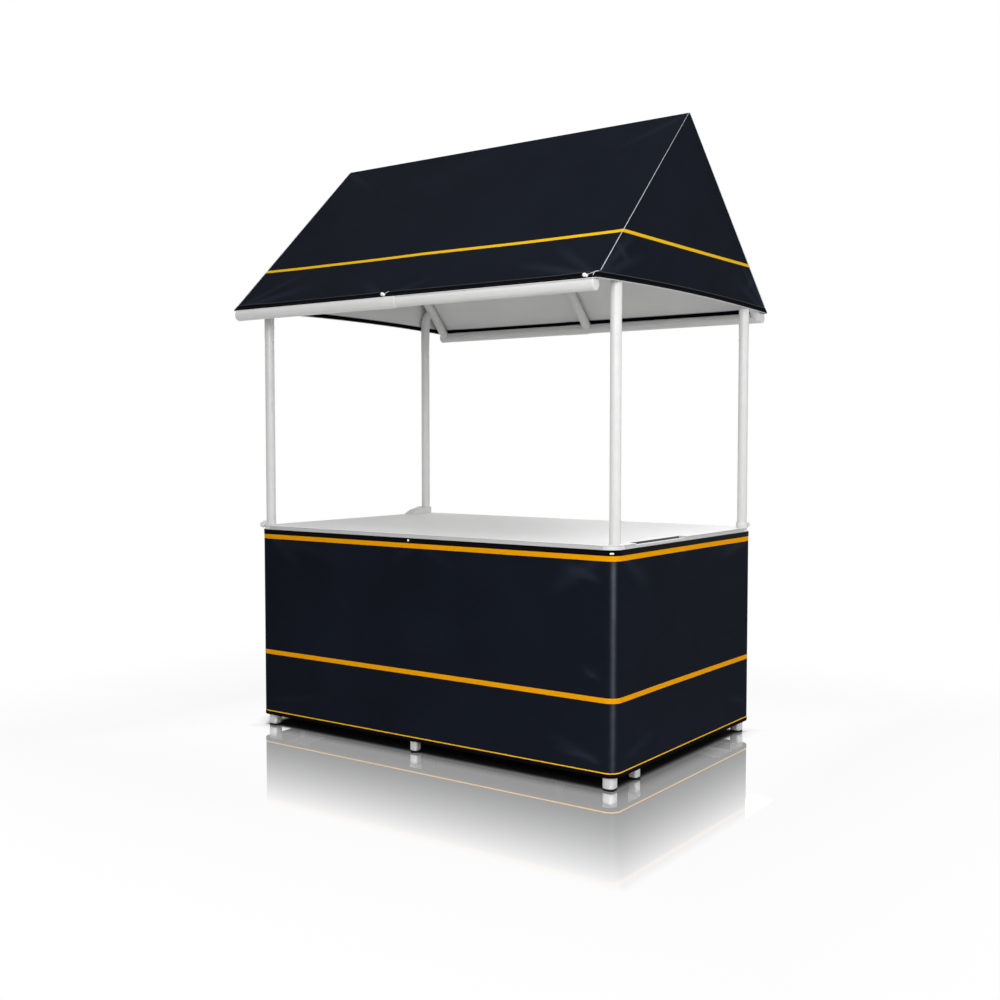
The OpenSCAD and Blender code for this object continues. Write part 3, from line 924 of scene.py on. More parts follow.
def canopy_rows():
    """Distances down from the ridge at which the canopy's cloth has a row of points"""
    fine = [0.0, 0.003, 0.007, 0.013, 0.022, 0.034]
    edge = 0.036
    last = SLOPE_RUN - edge
    count = 66
    body = [fine[-1] + (last - fine[-1]) * i / count for i in range(1, count + 1)]
    return fine + body + [last + edge * i / 4 for i in range(1, 5)]


def ring_mesh(name, rings, closed_section=False):
    """A surface through closed rings of points, with its print, weave and crease UV maps"""
    points = [entry[0] for ring in rings for entry in ring]
    around = len(rings[0])
    faces = []
    rows = len(rings) if closed_section else len(rings) - 1
    for row in range(rows):
        below = (row + 1) % len(rings)
        for step in range(around):
            over = (step + 1) % around
            faces.append((row * around + step, below * around + step,
                          below * around + over, row * around + over))
    piece = mesh_of(name, points, faces)
    add_uv(piece, "print", [entry[2] for ring in rings for entry in ring])
    add_uv(piece, "weave", [entry[3] for ring in rings for entry in ring])
    # The crease map drives the painted sheen on the cloth.
    add_uv(piece, "crease", [entry[4] for ring in rings for entry in ring])
    return piece


def merge_doubles(piece, distance=0.00005):
    """Merges points that lie on each other"""
    take(piece)
    bpy.ops.object.mode_set(mode="EDIT")
    bpy.ops.mesh.select_all(action="SELECT")
    bpy.ops.mesh.remove_doubles(threshold=distance)
    bpy.ops.object.mode_set(mode="OBJECT")


class StallCanopyOperator(bpy.types.Operator):
    """Makes the canopy: one sewn sheet with its hem, welts, piping, stitches and corner tabs"""
    bl_idname = "stall.canopy"
    bl_label = "Make Canopy"

    def execute(self, context):
        settings = context.scene.stall_canopy
        cloth = ring_mesh("canopy", [canopy_ring(down, settings) for down in canopy_rows()])
        merge_doubles(cloth)
        if len(cloth.data.polygons) < 10000:
            raise RuntimeError("the canopy's cloth has too few faces")
        face_out(cloth)
        cloth.data.materials.append(FINISHES["canopy"])
        cloth.data.materials.append(FINISHES["lining"])
        wall = cloth.modifiers.new("Thickness", "SOLIDIFY")
        wall.thickness = settings.cloth_thickness
        wall.offset = -1.0
        wall.material_offset = 1
        wall.material_offset_rim = 1
        apply_modifiers(cloth)
        smooth(cloth, 40)
        finish_piece(cloth, "canopy_cloth", replaces=("roof_front", "roof_rear", "gable_left", "gable_right"))

        # The hem's binding is folded over the edge: down outside, round it and up inside.
        deep = settings.hem_depth
        thick = 0.0011
        inner = settings.cloth_thickness
        section = [
            (deep + 0.0004, -0.0002), (deep, thick), (deep * 0.5, thick * 1.25), (0.0022, thick * 1.3),
            (-0.0008, thick * 0.6), (-0.0014, -inner / 2), (-0.0008, -inner - thick * 0.6),
            (0.0022, -inner - thick * 1.3), (deep * 0.5, -inner - thick * 1.25),
            (deep, -inner - thick), (deep + 0.0004, -inner + 0.0002),
        ]
        hem = ring_mesh("canopy_hem", [
            canopy_ring(SLOPE_RUN - up, settings, lift) for up, lift in section], closed_section=True)
        face_out(hem)
        smooth(hem, 45)
        finish_piece(hem, "canopy_cloth", FINISHES["binding"])

        rows = []
        for up, lift in ((deep - 0.0040, thick + 0.0003), (0.0050, thick + 0.0006)):
            ring = canopy_ring(SLOPE_RUN - up, settings, lift)
            rows.append({"points": [e[0] for e in ring], "normals": [e[1] for e in ring], "closed": True})
        for side in ("front", "rear"):
            line = [canopy_place(side, a, 0.012, settings, 0.0003) for a in side_steps(side)]
            rows.append({"points": [e[0] for e in line], "normals": [e[1] for e in line]})
        threads = stitch_piece("canopy_stitches", rows)
        finish_piece(threads, "canopy_cloth", FINISHES["thread"])

        # A fine grey welt follows the binding's upper edge outside, and a pale one inside.
        def cord_round(name, up, lift, radius, sides):
            ring = canopy_ring(SLOPE_RUN - up, settings, lift)
            return tube_along(name, [[entry[0] for entry in ring]], radius, sides, closed=True)

        welt = cord_round("canopy_welt", deep + 0.0004, thick * 0.6, 0.0010, 8)
        inside = cord_round("canopy_inner_welt", deep + 0.0014, -inner - 0.0008, 0.0013, 8)
        edging = cord_round("canopy_edge_cord", -0.0026, -inner - 0.0002, 0.0016, 10)
        finish_piece(welt, "canopy_cloth", FINISHES["welt"])
        finish_piece(inside, "canopy_cloth", FINISHES["piping"])
        finish_piece(edging, "canopy_cloth", FINISHES["elastic"])

        # Piping lies in the four seams between slopes and gables, fuller towards the hem.
        pipes = []
        for side, along in (("front", 0.0), ("front", 1.0), ("rear", 0.0), ("rear", 1.0)):
            path = []
            for step in range(81):
                down = 0.002 + (SLOPE_RUN - deep - 0.010) * step / 80
                point, normal, _ = canopy_place(side, along, down, settings)
                out = (normal + Vector((math.copysign(1.0, point.x), 0, 0))).normalized()
                path.append(point + out * settings.piping_radius * 0.4)
            pipes.append(path)
        piping = tube_along("canopy_piping", pipes, settings.piping_radius, 10, taper=(0.45, 1.0))
        finish_piece(piping, "canopy_cloth", FINISHES["piping"])

        # At both right corners a cord comes out of the seam, turns along the binding and goes down over it.
        tabs = []
        for y_sign in SIGNS:
            side, along = ("front", 1.0) if y_sign < 0 else ("rear", 0.0)
            path = []
            for up, slide, lift in (
                    (deep + 0.0020, 0.0030, 0.0022), (deep + 0.0024, 0.0080, 0.0026),
                    (deep + 0.0016, 0.0140, 0.0026), (deep + 0.0004, 0.0175, 0.0028),
                    (deep - 0.0030, 0.0192, 0.0030), (deep - 0.0090, 0.0196, 0.0030),
                    (deep - 0.0150, 0.0192, 0.0029), (deep - 0.0200, 0.0180, 0.0026)):
                point, normal, _ = canopy_place(side, along, SLOPE_RUN - up, settings)
                path.append(point + Vector((-slide, 0.0, 0.0)) + normal * lift)
            tabs.append(path)
        tab = tube_along("canopy_tabs", tabs, 0.0013, 8)
        finish_piece(tab, "canopy_cloth", FINISHES["elastic"])

        return {"FINISHED"}


class StallTogglesOperator(bpy.types.Operator):
    """Makes the two-lobed toggles that hold the canopy's hem, each on its short cord"""
    bl_idname = "stall.toggles"
    bl_label = "Make Toggles"

    def execute(self, context):
        settings = context.scene.stall_canopy
        low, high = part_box("canopy_toggles")
        ball_r = 0.009
        end_x = high.x - ball_r
        spots = [(x, y_sign) for x in (low.x + ball_r, end_x) for y_sign in SIGNS]
        ball = turned("toggle_balls", [
            (0.0020, -0.0078), (0.0046, -0.0066), (0.0066, -0.0042), (0.0076, 0.0), (0.0070, 0.0032),
            (0.0054, 0.0054), (0.0044, 0.0064), (0.0050, 0.0076), (0.0056, 0.0096), (0.0052, 0.0118),
            (0.0036, 0.0134), (0.0018, 0.0140)], steps=28)
        smooth(ball, 60)
        moves, loops = [], []
        for x, y_sign in spots:
            side = "front" if y_sign < 0 else "rear"
            along = (x / HALF_LENGTH * -y_sign + 1) / 2
            point, normal, _ = canopy_place(side, along, SLOPE_RUN - 0.006, settings)
            middle = point + normal * (ball_r * 0.72) + Vector((-0.002, 0, 0))
            moves.append(from_to(middle, middle + Vector((0.85, 0.0, -0.35))))
            up = Vector((0.0, -y_sign * math.cos(SLOPE), math.sin(SLOPE)))
            start = middle + Vector((0.004, 0, 0))
            reach = 0.030 if x > 0 else 0.014
            cord = []
            for step in range(13):
                part = step / 12
                cord.append(start + Vector((0.003 + reach * part, 0, 0))
                            + up * (0.0185 * math.sin(math.pi / 2 * part))
                            - normal * (ball_r * 0.72 - 0.0032) * ease(part, 0.0, 0.5))
            loops.append(cord)
        ball = copies(ball, moves)
        finish_piece(ball, "toggle_white", FINISHES["plastic"], replaces=("canopy_toggles",))
        cord = tube_along("toggle_cords", loops, 0.0010, 8)
        finish_piece(cord, "toggle_white", FINISHES["elastic"])
        return {"FINISHED"}


# ---- skirt ------------------------------------------------------------------------------------

def corner_distances():
    """Where each corner's painted highlight lies, as a distance round the skirt from the middle of its rear
    """
    long_run, short_run = SKIRT_X - SKIRT_CORNER, 2 * (SKIRT_Y - SKIRT_CORNER)
    arc = SKIRT_CORNER * math.pi / 2
    starts = (long_run, long_run + arc + short_run, 3 * long_run + 2 * arc + short_run,
              3 * long_run + 3 * arc + 2 * short_run)
    return [start + arc * 0.46 for start in starts]


def skirt_path():
    """Points round the skirt's outer face from the middle of its rear: place, normal, distance"""
    straight_x = SKIRT_X - SKIRT_CORNER
    straight_y = SKIRT_Y - SKIRT_CORNER
    path = []
    distance = 0.0

    def run(start, end, normal, step=0.0145):
        nonlocal distance
        length = (end - start).length
        count = max(1, round(length / step))
        for i in range(count):
            path.append((start.lerp(end, i / count), normal, distance + length * i / count))
        distance += length

    def turn(middle, first, segments=14):
        nonlocal distance
        for i in range(segments):
            angle = first + math.pi / 2 * i / segments
            normal = Vector((math.cos(angle), math.sin(angle), 0.0))
            path.append((middle + normal * SKIRT_CORNER, normal,
                         distance + SKIRT_CORNER * math.pi / 2 * i / segments))
        distance += SKIRT_CORNER * math.pi / 2

    run(Vector((0.0, SKIRT_Y, 0)), Vector((-straight_x, SKIRT_Y, 0)), Vector((0, 1, 0)))
    turn(Vector((-straight_x, straight_y, 0)), math.pi / 2)
    run(Vector((-SKIRT_X, straight_y, 0)), Vector((-SKIRT_X, -straight_y, 0)), Vector((-1, 0, 0)))
    turn(Vector((-straight_x, -straight_y, 0)), math.pi)
    run(Vector((-straight_x, -SKIRT_Y, 0)), Vector((straight_x, -SKIRT_Y, 0)), Vector((0, -1, 0)))
    turn(Vector((straight_x, -straight_y, 0)), 1.5 * math.pi)
    run(Vector((SKIRT_X, -straight_y, 0)), Vector((SKIRT_X, straight_y, 0)), Vector((1, 0, 0)))
    turn(Vector((straight_x, straight_y, 0)), 0.0)
    run(Vector((straight_x, SKIRT_Y, 0)), Vector((0.0, SKIRT_Y, 0)), Vector((0, 1, 0)))
    return path, distance


# Pulls in each face of the skirt: start and end as parts of its length and height, width in metres, strength.
LONG_PULLS = (
    ((1.00, 0.97), (0.84, 0.78), 0.026, 0.7), ((1.01, 0.855), (0.88, 0.93), 0.016, 1.1),
    ((0.00, 0.97), (0.14, 0.80), 0.030, 0.4), ((0.02, 0.95), (0.30, 0.86), 0.026, 0.3),
    ((0.50, 0.98), (0.40, 0.86), 0.024, 0.3), ((0.50, 0.98), (0.62, 0.85), 0.024, 0.3),
    ((1.00, 0.07), (0.87, 0.10), 0.011, 1.1), ((1.00, 0.06), (0.84, 0.17), 0.014, 0.5),
    ((1.00, 0.42), (0.94, 0.48), 0.010, 1.0), ((1.00, 0.47), (0.94, 0.43), 0.010, 0.5),
    ((0.00, 0.08), (0.20, 0.14), 0.016, 0.3),
)
SHORT_PULLS = (
    ((1.00, 0.956), (0.73, 0.895), 0.016, 1.1), ((0.98, 0.98), (0.62, 0.93), 0.020, 0.5),
    ((0.00, 0.96), (0.20, 0.82), 0.028, 0.6), ((0.02, 0.08), (0.26, 0.15), 0.018, 0.5),
    ((1.00, 0.10), (0.80, 0.18), 0.018, 0.5), ((0.48, 0.98), (0.36, 0.88), 0.020, 0.3),
)


def skirt_bulge(point, normal, height, settings):
    """How far the skirt's cloth stands out from its plane, and how strongly it is creased there"""
    part = (height - SKIRT_LOW) / (SKIRT_TOP - SKIRT_LOW)
    flat = max(abs(normal.x), abs(normal.y)) > 0.9999
    long_side = abs(normal.y) > abs(normal.x)
    half = (SKIRT_X if long_side else SKIRT_Y) - SKIRT_CORNER
    place = point.x * -normal.y if long_side else point.y * normal.x
    along = (place + half) / (2 * half)
    if not flat:
        return 0.0, 0.0
    size = SKIRT_TOP - SKIRT_LOW
    ripple = 0.0
    for start, end, width, strong in (LONG_PULLS if long_side else SHORT_PULLS):
        ripple += strong * pull(along * 2 * half, part * size, (start[0] * 2 * half, start[1] * size),
                                (end[0] * 2 * half, end[1] * size), width)
    near_edge = ease(along, 0.0, 0.03) * (1 - ease(along, 0.97, 1.0))
    hold = math.sin(math.pi * min(1.0, max(0.0, part))) ** 0.5
    slow = noise.noise(Vector((place * 2.6, height * 3.0, 3.0 * normal.x + 7.0 * normal.y)))
    dish = -0.0022 * math.sin(math.pi * min(1.0, max(0.0, along))) * hold
    out = settings.fold_height * ripple * near_edge + 0.0016 * slow * hold * near_edge + dish
    return out * ease(1 - part, 0.0, 0.035), ripple * near_edge


def skirt_ring(height, settings, lift=0.0):
    """The closed line round the skirt at a height"""
    path, _ = skirt_path()
    ring = []
    for point, normal, distance in path:
        out, creases = skirt_bulge(point, normal, height, settings)
        place = Vector((point.x, point.y, height)) + normal * (out + lift)
        ring.append((place, normal, (distance, height), (distance, height), (creases, height)))
    return ring


class StallSkirtOperator(bpy.types.Operator):
    """Makes the skirt: one sheet round the counter with its bindings, stitches and press studs"""
    bl_idname = "stall.skirt"
    bl_label = "Make Skirt"

    def execute(self, context):
        settings = context.scene.stall_skirt
        count = 58
        heights = [SKIRT_TOP - (SKIRT_TOP - SKIRT_LOW) * i / count for i in range(count + 1)]
        cloth = ring_mesh("skirt", [skirt_ring(height, settings) for height in heights])
        if len(cloth.data.polygons) < 10000:
            raise RuntimeError("the skirt's cloth has too few faces")
        face_out(cloth)
        wall = cloth.modifiers.new("Thickness", "SOLIDIFY")
        wall.thickness = settings.cloth_thickness
        wall.offset = -1.0
        apply_modifiers(cloth)
        smooth(cloth, 40)
        finish_piece(cloth, "skirt_cloth", FINISHES["skirt"], replaces=(
            "skirt_front", "skirt_right", "skirt_rear", "skirt_left", "skirt_corners"))

        inner = settings.cloth_thickness
        thick = 0.0009
        deep = settings.top_band
        top = ring_mesh("skirt_top_binding", [skirt_ring(SKIRT_TOP - down, settings, lift) for down, lift in (
            (deep, 0.0002), (deep - 0.0006, thick), (deep * 0.62, thick * 1.2), (deep * 0.56, thick * 1.9),
            (deep * 0.50, thick * 1.2), (deep * 0.30, thick * 1.3), (0.0034, thick * 1.3),
            (0.0024, thick * 2.0), (0.0010, thick * 1.6), (0.0, 0.0), (0.0, -inner),
            (0.0010, -inner - thick), (deep * 0.5, -inner - thick),
            (deep, -inner - thick), (deep, -inner + 0.0002))], closed_section=True)
        face_out(top)
        smooth(top, 45)
        finish_piece(top, "skirt_cloth", FINISHES["edge"])

        deep = settings.hem_band
        hem = ring_mesh("skirt_hem_binding", [skirt_ring(SKIRT_LOW + up, settings, lift) for up, lift in (
            (deep, 0.0001), (deep - 0.0005, thick), (deep * 0.5, thick * 1.25), (0.0020, thick * 1.3),
            (0.0003, thick * 0.7), (0.0, -inner / 2), (0.0003, -inner - thick * 0.7),
            (0.0020, -inner - thick), (deep, -inner - thick), (deep, -inner + 0.0002))], closed_section=True)
        face_out(hem)
        smooth(hem, 45)
        finish_piece(hem, "skirt_cloth", FINISHES["binding"])

        rows = []
        for height, lift in ((SKIRT_TOP - settings.top_band + 0.0022, thick + 0.0002),
                             (SKIRT_LOW + settings.hem_band - 0.0020, thick + 0.0002)):
            ring = skirt_ring(height, settings, lift)
            rows.append({"points": [e[0] for e in ring], "normals": [e[1] for e in ring], "closed": True})
        threads = stitch_piece("skirt_stitches", rows)
        finish_piece(threads, "skirt_cloth", FINISHES["binding"])

        # A press stud at the middle of both long sides, and on two of the corners a wider white tab:
        # a painted highlight standing for the glint of the glossy band.
        low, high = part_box("skirt_studs")
        stud_z = (low.z + high.z) / 2
        stud = turned("skirt_press_studs", [
            (0.0050, 0.0), (0.0050, 0.0008), (0.0045, 0.0014), (0.0036, 0.0015), (0.0032, 0.0021),
            (0.0024, 0.0026), (0.0012, 0.0028)], steps=24)
        smooth(stud, 30)
        moves = []
        for y_sign in SIGNS:
            start = Vector((MID_X, y_sign * (SKIRT_Y + 0.0008), stud_z))
            moves.append(from_to(start, start + Vector((0, y_sign, 0))))
        stud = copies(stud, moves)
        tab = block("skirt_corner_glints", (-0.0080, -0.0036, -0.002), (0.0080, 0.0036, 0.0022))
        bevel(tab, 0.0030, 6, lambda middle, way: abs(way.z) > 0.9)
        bevel(tab, 0.0012, 3, lambda middle, way: middle.z > 0.0021 and abs(way.z) < 0.1)
        choose(tab, "FACE", lambda middle, way: True)
        bpy.ops.mesh.bisect(plane_co=(-0.004, 0, 0), plane_no=(1, 0, 0))
        bpy.ops.mesh.select_all(action="SELECT")
        bpy.ops.mesh.bisect(plane_co=(0.004, 0, 0), plane_no=(1, 0, 0))
        bpy.ops.object.mode_set(mode="OBJECT")
        smooth(tab, 30)
        moves = []
        for sign in SIGNS:
            turn = math.radians(-90 + 33) if sign > 0 else math.radians(90 + 33)
            out = Vector((math.cos(turn), math.sin(turn), 0.0))
            middle = Vector((sign * (SKIRT_X - SKIRT_CORNER), -sign * (SKIRT_Y - SKIRT_CORNER),
                             stud_z - 0.003))
            across = Vector((0, 0, 1)).cross(out)
            place = Matrix((across, Vector((0, 0, 1)), out)).transposed().to_4x4()
            moves.append(Matrix.Translation(middle + out * SKIRT_CORNER) @ place)
        tab = copies(tab, moves)
        face_out(tab)
        take(stud, tab)
        bpy.ops.object.join()
        stud = bpy.context.object
        finish_piece(stud, "toggle_white", FINISHES["plastic"], replaces=("skirt_studs",))
        _, around = skirt_path()
        return {"FINISHED"}


# ---- counter board ----------------------------------------------------------------------------

# The edge of the board and of its corner castings, from below: how far inside the outline, and height.
# Under its rim runs a shallow channel, dark at the top, that ends on a narrow lower rim.
EDGE = (
    (0.0030, -0.0200), (0.0008, -0.0195), (0.0000, -0.0184), (0.0000, -0.0150), (0.0004, -0.0142),
    (0.0010, -0.0132), (0.0019, -0.0090), (0.0027, -0.0050), (0.0030, -0.0034), (0.0024, -0.0026),
    (0.0009, -0.0023), (0.0001, -0.0016), (0.0002, -0.0008), (0.0010, -0.0002), (0.0024, 0.0),
)


def edged_slab(name):
    """The whole slab of the counter with its rounded corners, drawn up through the rings of its edge"""
    let_go()
    middle = (BOARD_LOW + BOARD_HIGH) / 2
    size = BOARD_HIGH - BOARD_LOW
    height = EDGE[0][1]
    bpy.ops.mesh.primitive_plane_add(size=1.0, location=(middle.x, middle.y, BOARD_TOP + height))
    slab = named(name)
    slab.scale = (size.x, size.y, 1.0)
    settle(slab)
    choose(slab, "VERT", lambda point, way: True)
    bpy.ops.mesh.bevel(offset=SKIRT_CORNER - (SKIRT_X - BOARD_HIGH.x), segments=12, affect="VERTICES")
    bpy.ops.mesh.select_all(action="SELECT")
    before_x, before_y = size.x, size.y
    for ring, (inset, height) in enumerate(EDGE):
        if ring:
            rise = height - EDGE[ring - 1][1]
            bpy.ops.mesh.extrude_region_move(TRANSFORM_OT_translate={"value": (0, 0, rise)})
        wide, deep = size.x - 2 * inset, size.y - 2 * inset
        bpy.ops.transform.resize(
            value=(wide / before_x, deep / before_y, 1.0),
            center_override=(middle.x, middle.y, BOARD_TOP + height))
        before_x, before_y = wide, deep
    bpy.ops.object.mode_set(mode="OBJECT")
    face_out(slab)
    return slab


def casting_reach(x_sign, y_sign):
    """How far a corner's casting reaches in from its post's axis, along Y"""
    return 0.138 if (x_sign, y_sign) == (-1, 1) else 0.029


def corner_block(x_sign, y_sign, gap=0.0):
    """A block round one corner of the slab, as far in as the casting there reaches"""
    inner_x = x_sign * (POST_X - 0.029 + gap)
    inner_y = y_sign * (POST_Y - casting_reach(x_sign, y_sign) + gap)
    outer_x, outer_y = x_sign * 1.0, y_sign * 0.7
    return block("corner", (min(inner_x, outer_x), min(inner_y, outer_y), BOARD_LOW.z - 0.01),
                 (max(inner_x, outer_x), max(inner_y, outer_y), BOARD_TOP + 0.01))


def paint_edge_shade(slab):
    """Gives the slab's outer side, below its top rim, its second finish, a grey that is painted shade"""
    for face in slab.data.polygons:
        outside = abs(face.center.x) > BOARD_HIGH.x - 0.05 or abs(face.center.y) > BOARD_HIGH.y - 0.05
        low = face.center.z < BOARD_TOP - 0.0012
        if low and outside and abs(face.normal.z) < 0.8:
            face.material_index = 1


class StallBoardOperator(bpy.types.Operator):
    """Makes the counter board: its edge with a rim and a channel, and the groove along its right end"""
    bl_idname = "stall.board"
    bl_label = "Make Counter Board"

    def execute(self, context):
        board = edged_slab("counter_board")
        for x_sign in SIGNS:
            for y_sign in SIGNS:
                cut(board, corner_block(x_sign, y_sign))
        left, right, front, rear = GROOVE
        groove = block("groove", (left, front, BOARD_TOP - 0.012), (right, rear, BOARD_TOP + 0.01))
        bevel(groove, 0.0020, 5, lambda middle, way: abs(way.z) > 0.9)
        cut(board, groove)
        outside = block("outside", (right - 0.004, front, BOARD_TOP - 0.007), (1.0, rear, BOARD_TOP + 0.01))
        bevel(outside, 0.0040, 5, lambda middle, way: abs(way.z) > 0.9)
        cut(board, outside)
        if len(board.data.polygons) < 80:
            raise RuntimeError("the counter board lost its edge")
        smooth(board, 30)
        finish_piece(board, "board_white", FINISHES["board"], FINISHES["edge_band"],
                     replaces=("counter_top",))
        paint_edge_shade(board)

        # A dark strip lines the groove's inner wall and lies on its floor: painted shade in the groove.
        seal = block("groove_seal", (left - 0.0002, front + 0.003, BOARD_TOP - 0.0118),
                     (left + 0.0016, rear - 0.003, BOARD_TOP - 0.0003))
        bevel(seal, 0.0006, 3, lambda middle, way: abs(way.y) > 0.9 and middle.x > left)
        foot = block("groove_seal_foot", (left, front + 0.003, BOARD_TOP - 0.0121),
                     (right - 0.001, rear - 0.003, BOARD_TOP - 0.0106))
        bevel(foot, 0.0005, 3, lambda middle, way: abs(way.y) > 0.9 and middle.z > BOARD_TOP - 0.0110)
        take(seal, foot)
        bpy.ops.object.join()
        seal = bpy.context.object
        smooth(seal, 30)
        finish_piece(seal, "board_white", FINISHES["seal"])

        # A bead stiffens the lip outside the groove.
        path = [(BOARD_HIGH.x - 0.0052, front + 0.004, BOARD_TOP - 0.0074),
                (BOARD_HIGH.x - 0.0052, rear - 0.004, BOARD_TOP - 0.0074)]
        lip = tube_along("groove_lip", [path], 0.0021, 12)
        finish_piece(lip, "board_white", FINISHES["board"])
        return {"FINISHED"}


# ---- feet -------------------------------------------------------------------------------------

class StallFeetOperator(bpy.types.Operator):
    """Makes the feet: rounded aluminium cups on grooved rubber pads"""
    bl_idname = "stall.feet"
    bl_label = "Make Feet"

    def execute(self, context):
        pad_top = FOOT_LOW.z
        foot_top = FOOT_HIGH.z
        corners = [(x * LEG_X, y * POST_Y, 0.0) for x in SIGNS for y in SIGNS]
        inner = [(MID_X, y * POST_Y, 0.0) for y in SIGNS] + [(x * LEG_X, SIDE_FOOT_Y, 0.0) for x in SIGNS]
        for name, node_name, half, round_by, spots in (
                ("corner_foot_cups", "corner_feet", 0.024, 0.0158, corners),
                ("inner_foot_cups", "inner_feet", 0.019, 0.0118, inner)):
            cup = block(name, (-half, -half, pad_top), (half, half, foot_top))
            bevel(cup, round_by, 10, lambda middle, way: abs(way.z) > 0.9)
            bevel(cup, 0.0060, 6, lambda middle, way: abs(middle.z - pad_top) < 1e-5)
            bevel(cup, 0.0020, 4, lambda middle, way: abs(middle.z - foot_top) < 1e-5)
            choose(cup, "FACE", lambda middle, way: way.z > 0.99 and middle.z > foot_top - 1e-5)
            bpy.ops.mesh.inset(thickness=0.0016)
            bpy.ops.mesh.extrude_region_move(TRANSFORM_OT_translate={"value": (0, 0, -0.0010)})
            bpy.ops.object.mode_set(mode="OBJECT")
            smooth(cup, 30)
            cup = copies(cup, [Vector(spot) for spot in spots])
            finish_piece(cup, "foot_silver", FINISHES["silver"], replaces=(node_name,))

        # Each cup stands in a rubber pad that is grooved below and comes a little way up round it.
        pads = []
        for name, half, round_by, spots in (
                ("corner_pads", 0.0232, 0.0150, corners), ("inner_pads", 0.0182, 0.0110, inner)):
            pad = block(name, (-half, -half, 0.0), (half, half, pad_top + 0.0016))
            bevel(pad, round_by, 8, lambda middle, way: abs(way.z) > 0.9)
            bevel(pad, 0.0012, 3, lambda middle, way: middle.z < 1e-5 or middle.z > pad_top + 0.0015)
            for _ in range(2):
                choose(pad, "FACE", lambda middle, way: (
                    way.z < -0.99 and middle.z < 1e-5 and middle.length < 0.002))
                bpy.ops.mesh.inset(thickness=0.004)
                bpy.ops.mesh.extrude_region_move(TRANSFORM_OT_translate={"value": (0, 0, 0.0015)})
                bpy.ops.mesh.inset(thickness=0.002)
                bpy.ops.mesh.extrude_region_move(TRANSFORM_OT_translate={"value": (0, 0, -0.0015)})
                bpy.ops.object.mode_set(mode="OBJECT")
            smooth(pad, 30)
            pads.append(copies(pad, [Vector(spot) for spot in spots]))
        take(*pads)
        bpy.ops.object.join()
        pad = named("foot_pads_moulded")
        finish_piece(pad, "pad_rubber", FINISHES["rubber"], replaces=("foot_pads",))
        return {"FINISHED"}


# ---- sockets and tube details -------------------------------------------------------------------

def corner_knob(name, out, radius, neck_z, ball_z):
    """A ball on a neck that points out of a corner, from the post's axis; out is where the ball lies"""
    out = Vector((out[0], out[1], 0.0))
    ball = turned(name, [
        (radius * math.cos(turn), ball_z + radius * math.sin(turn))
        for turn in (math.radians(a) for a in (-86, -70, -55, -40, -25, -10, 5, 20, 35, 50, 65, 78, 87))],
        Matrix.Translation(out), 40)
    neck = turned(name + "_neck", [
        (radius * 0.86, 0.0), (radius * 0.80, out.length * 0.45), (radius * 0.74, out.length * 0.75),
        (radius * 0.80, out.length)], from_to((0, 0, neck_z), (out.x, out.y, neck_z)), 36)
    take(ball, neck)
    bpy.ops.object.join()
    return bpy.context.object


class StallSocketsOperator(bpy.types.Operator):
    """Makes the castings at the counter's corners that hold the posts"""
    bl_idname = "stall.sockets"
    bl_label = "Make Corner Castings"

    def execute(self, context):
        for name, x_sign, y_sign in (
                ("front_left", -1, -1), ("front_right", 1, -1), ("rear_left", -1, 1), ("rear_right", 1, 1)):
            corner = edged_slab("casting_" + name)
            cut(corner, corner_block(x_sign, y_sign, 0.0003), "INTERSECT")
            smooth(corner, 30)
            parts = [corner]
            place = Matrix.Translation((x_sign * POST_X, y_sign * POST_Y, BOARD_TOP))
            flange = [(0.0280, -0.0010), (0.0280, 0.0022), (0.0274, 0.0034), (0.0262, 0.0040)]
            if (x_sign, y_sign) == (-1, -1):
                flange += [(0.0252, 0.0052), (0.0240, 0.0076), (0.0232, 0.0104),
                           (0.0227, 0.0134), (0.0220, 0.0140)]
                parts.append(corner_knob("knob", (-0.029, -0.022), 0.0135, 0.009, 0.002))
            elif (x_sign, y_sign) == (1, 1):
                flange = [(0.0275, -0.0010), (0.0275, 0.0020), (0.0264, 0.0030), (0.0260, 0.0034),
                          (0.0260, 0.0212), (0.0254, 0.0230), (0.0242, 0.0240)]
                parts.append(corner_knob("knob", (0.018, 0.014), 0.0120, 0.0125, 0.0125))
            elif (x_sign, y_sign) == (1, -1):
                flange = [(0.0268, -0.0010), (0.0266, 0.0008), (0.0256, 0.0016),
                          (0.0236, 0.0022), (0.0222, 0.0030)]
            else:
                parts.append(self.long_block())
            flange.append((POST_R - 0.0006, flange[-1][1]))
            ring = turned("flange", flange, steps=72)
            smooth(ring, 25)
            parts.append(ring)
            for part in parts[1:]:
                smooth(part, 30)
                part.matrix_world = place
                settle(part)
            take(*parts)
            bpy.ops.object.join()
            finish_piece(bpy.context.object, "powder_white", FINISHES["powder"], replaces=("socket_" + name,))
        return {"FINISHED"}

    @staticmethod
    def long_block():
        """The block under the rear left post, which runs forward along the board's end and slopes down"""
        body = block("long_block", (-0.026, -0.137, -0.001), (0.026, 0.026, 0.035))
        bevel(body, 0.020, 8, lambda middle, way: abs(way.z) > 0.9 and middle.y > 0)
        for place, along in (((0, -0.030, 0.035), (0, -0.070, -0.0133)),
                             ((0, -0.100, 0.0217), (0, -0.037, -0.0167))):
            choose(body, "FACE", lambda middle, way: True)
            up = Vector((1, 0, 0)).cross(Vector(along)).normalized()
            up = up if up.z > 0 else -up
            bpy.ops.mesh.bisect(plane_co=place, plane_no=up, use_fill=True, clear_outer=True)
            bpy.ops.object.mode_set(mode="OBJECT")
        face_out(body)
        bevel(body, 0.0035, 4, lambda middle, way: middle.z > 0.004)
        smooth(body, 30)
        return body


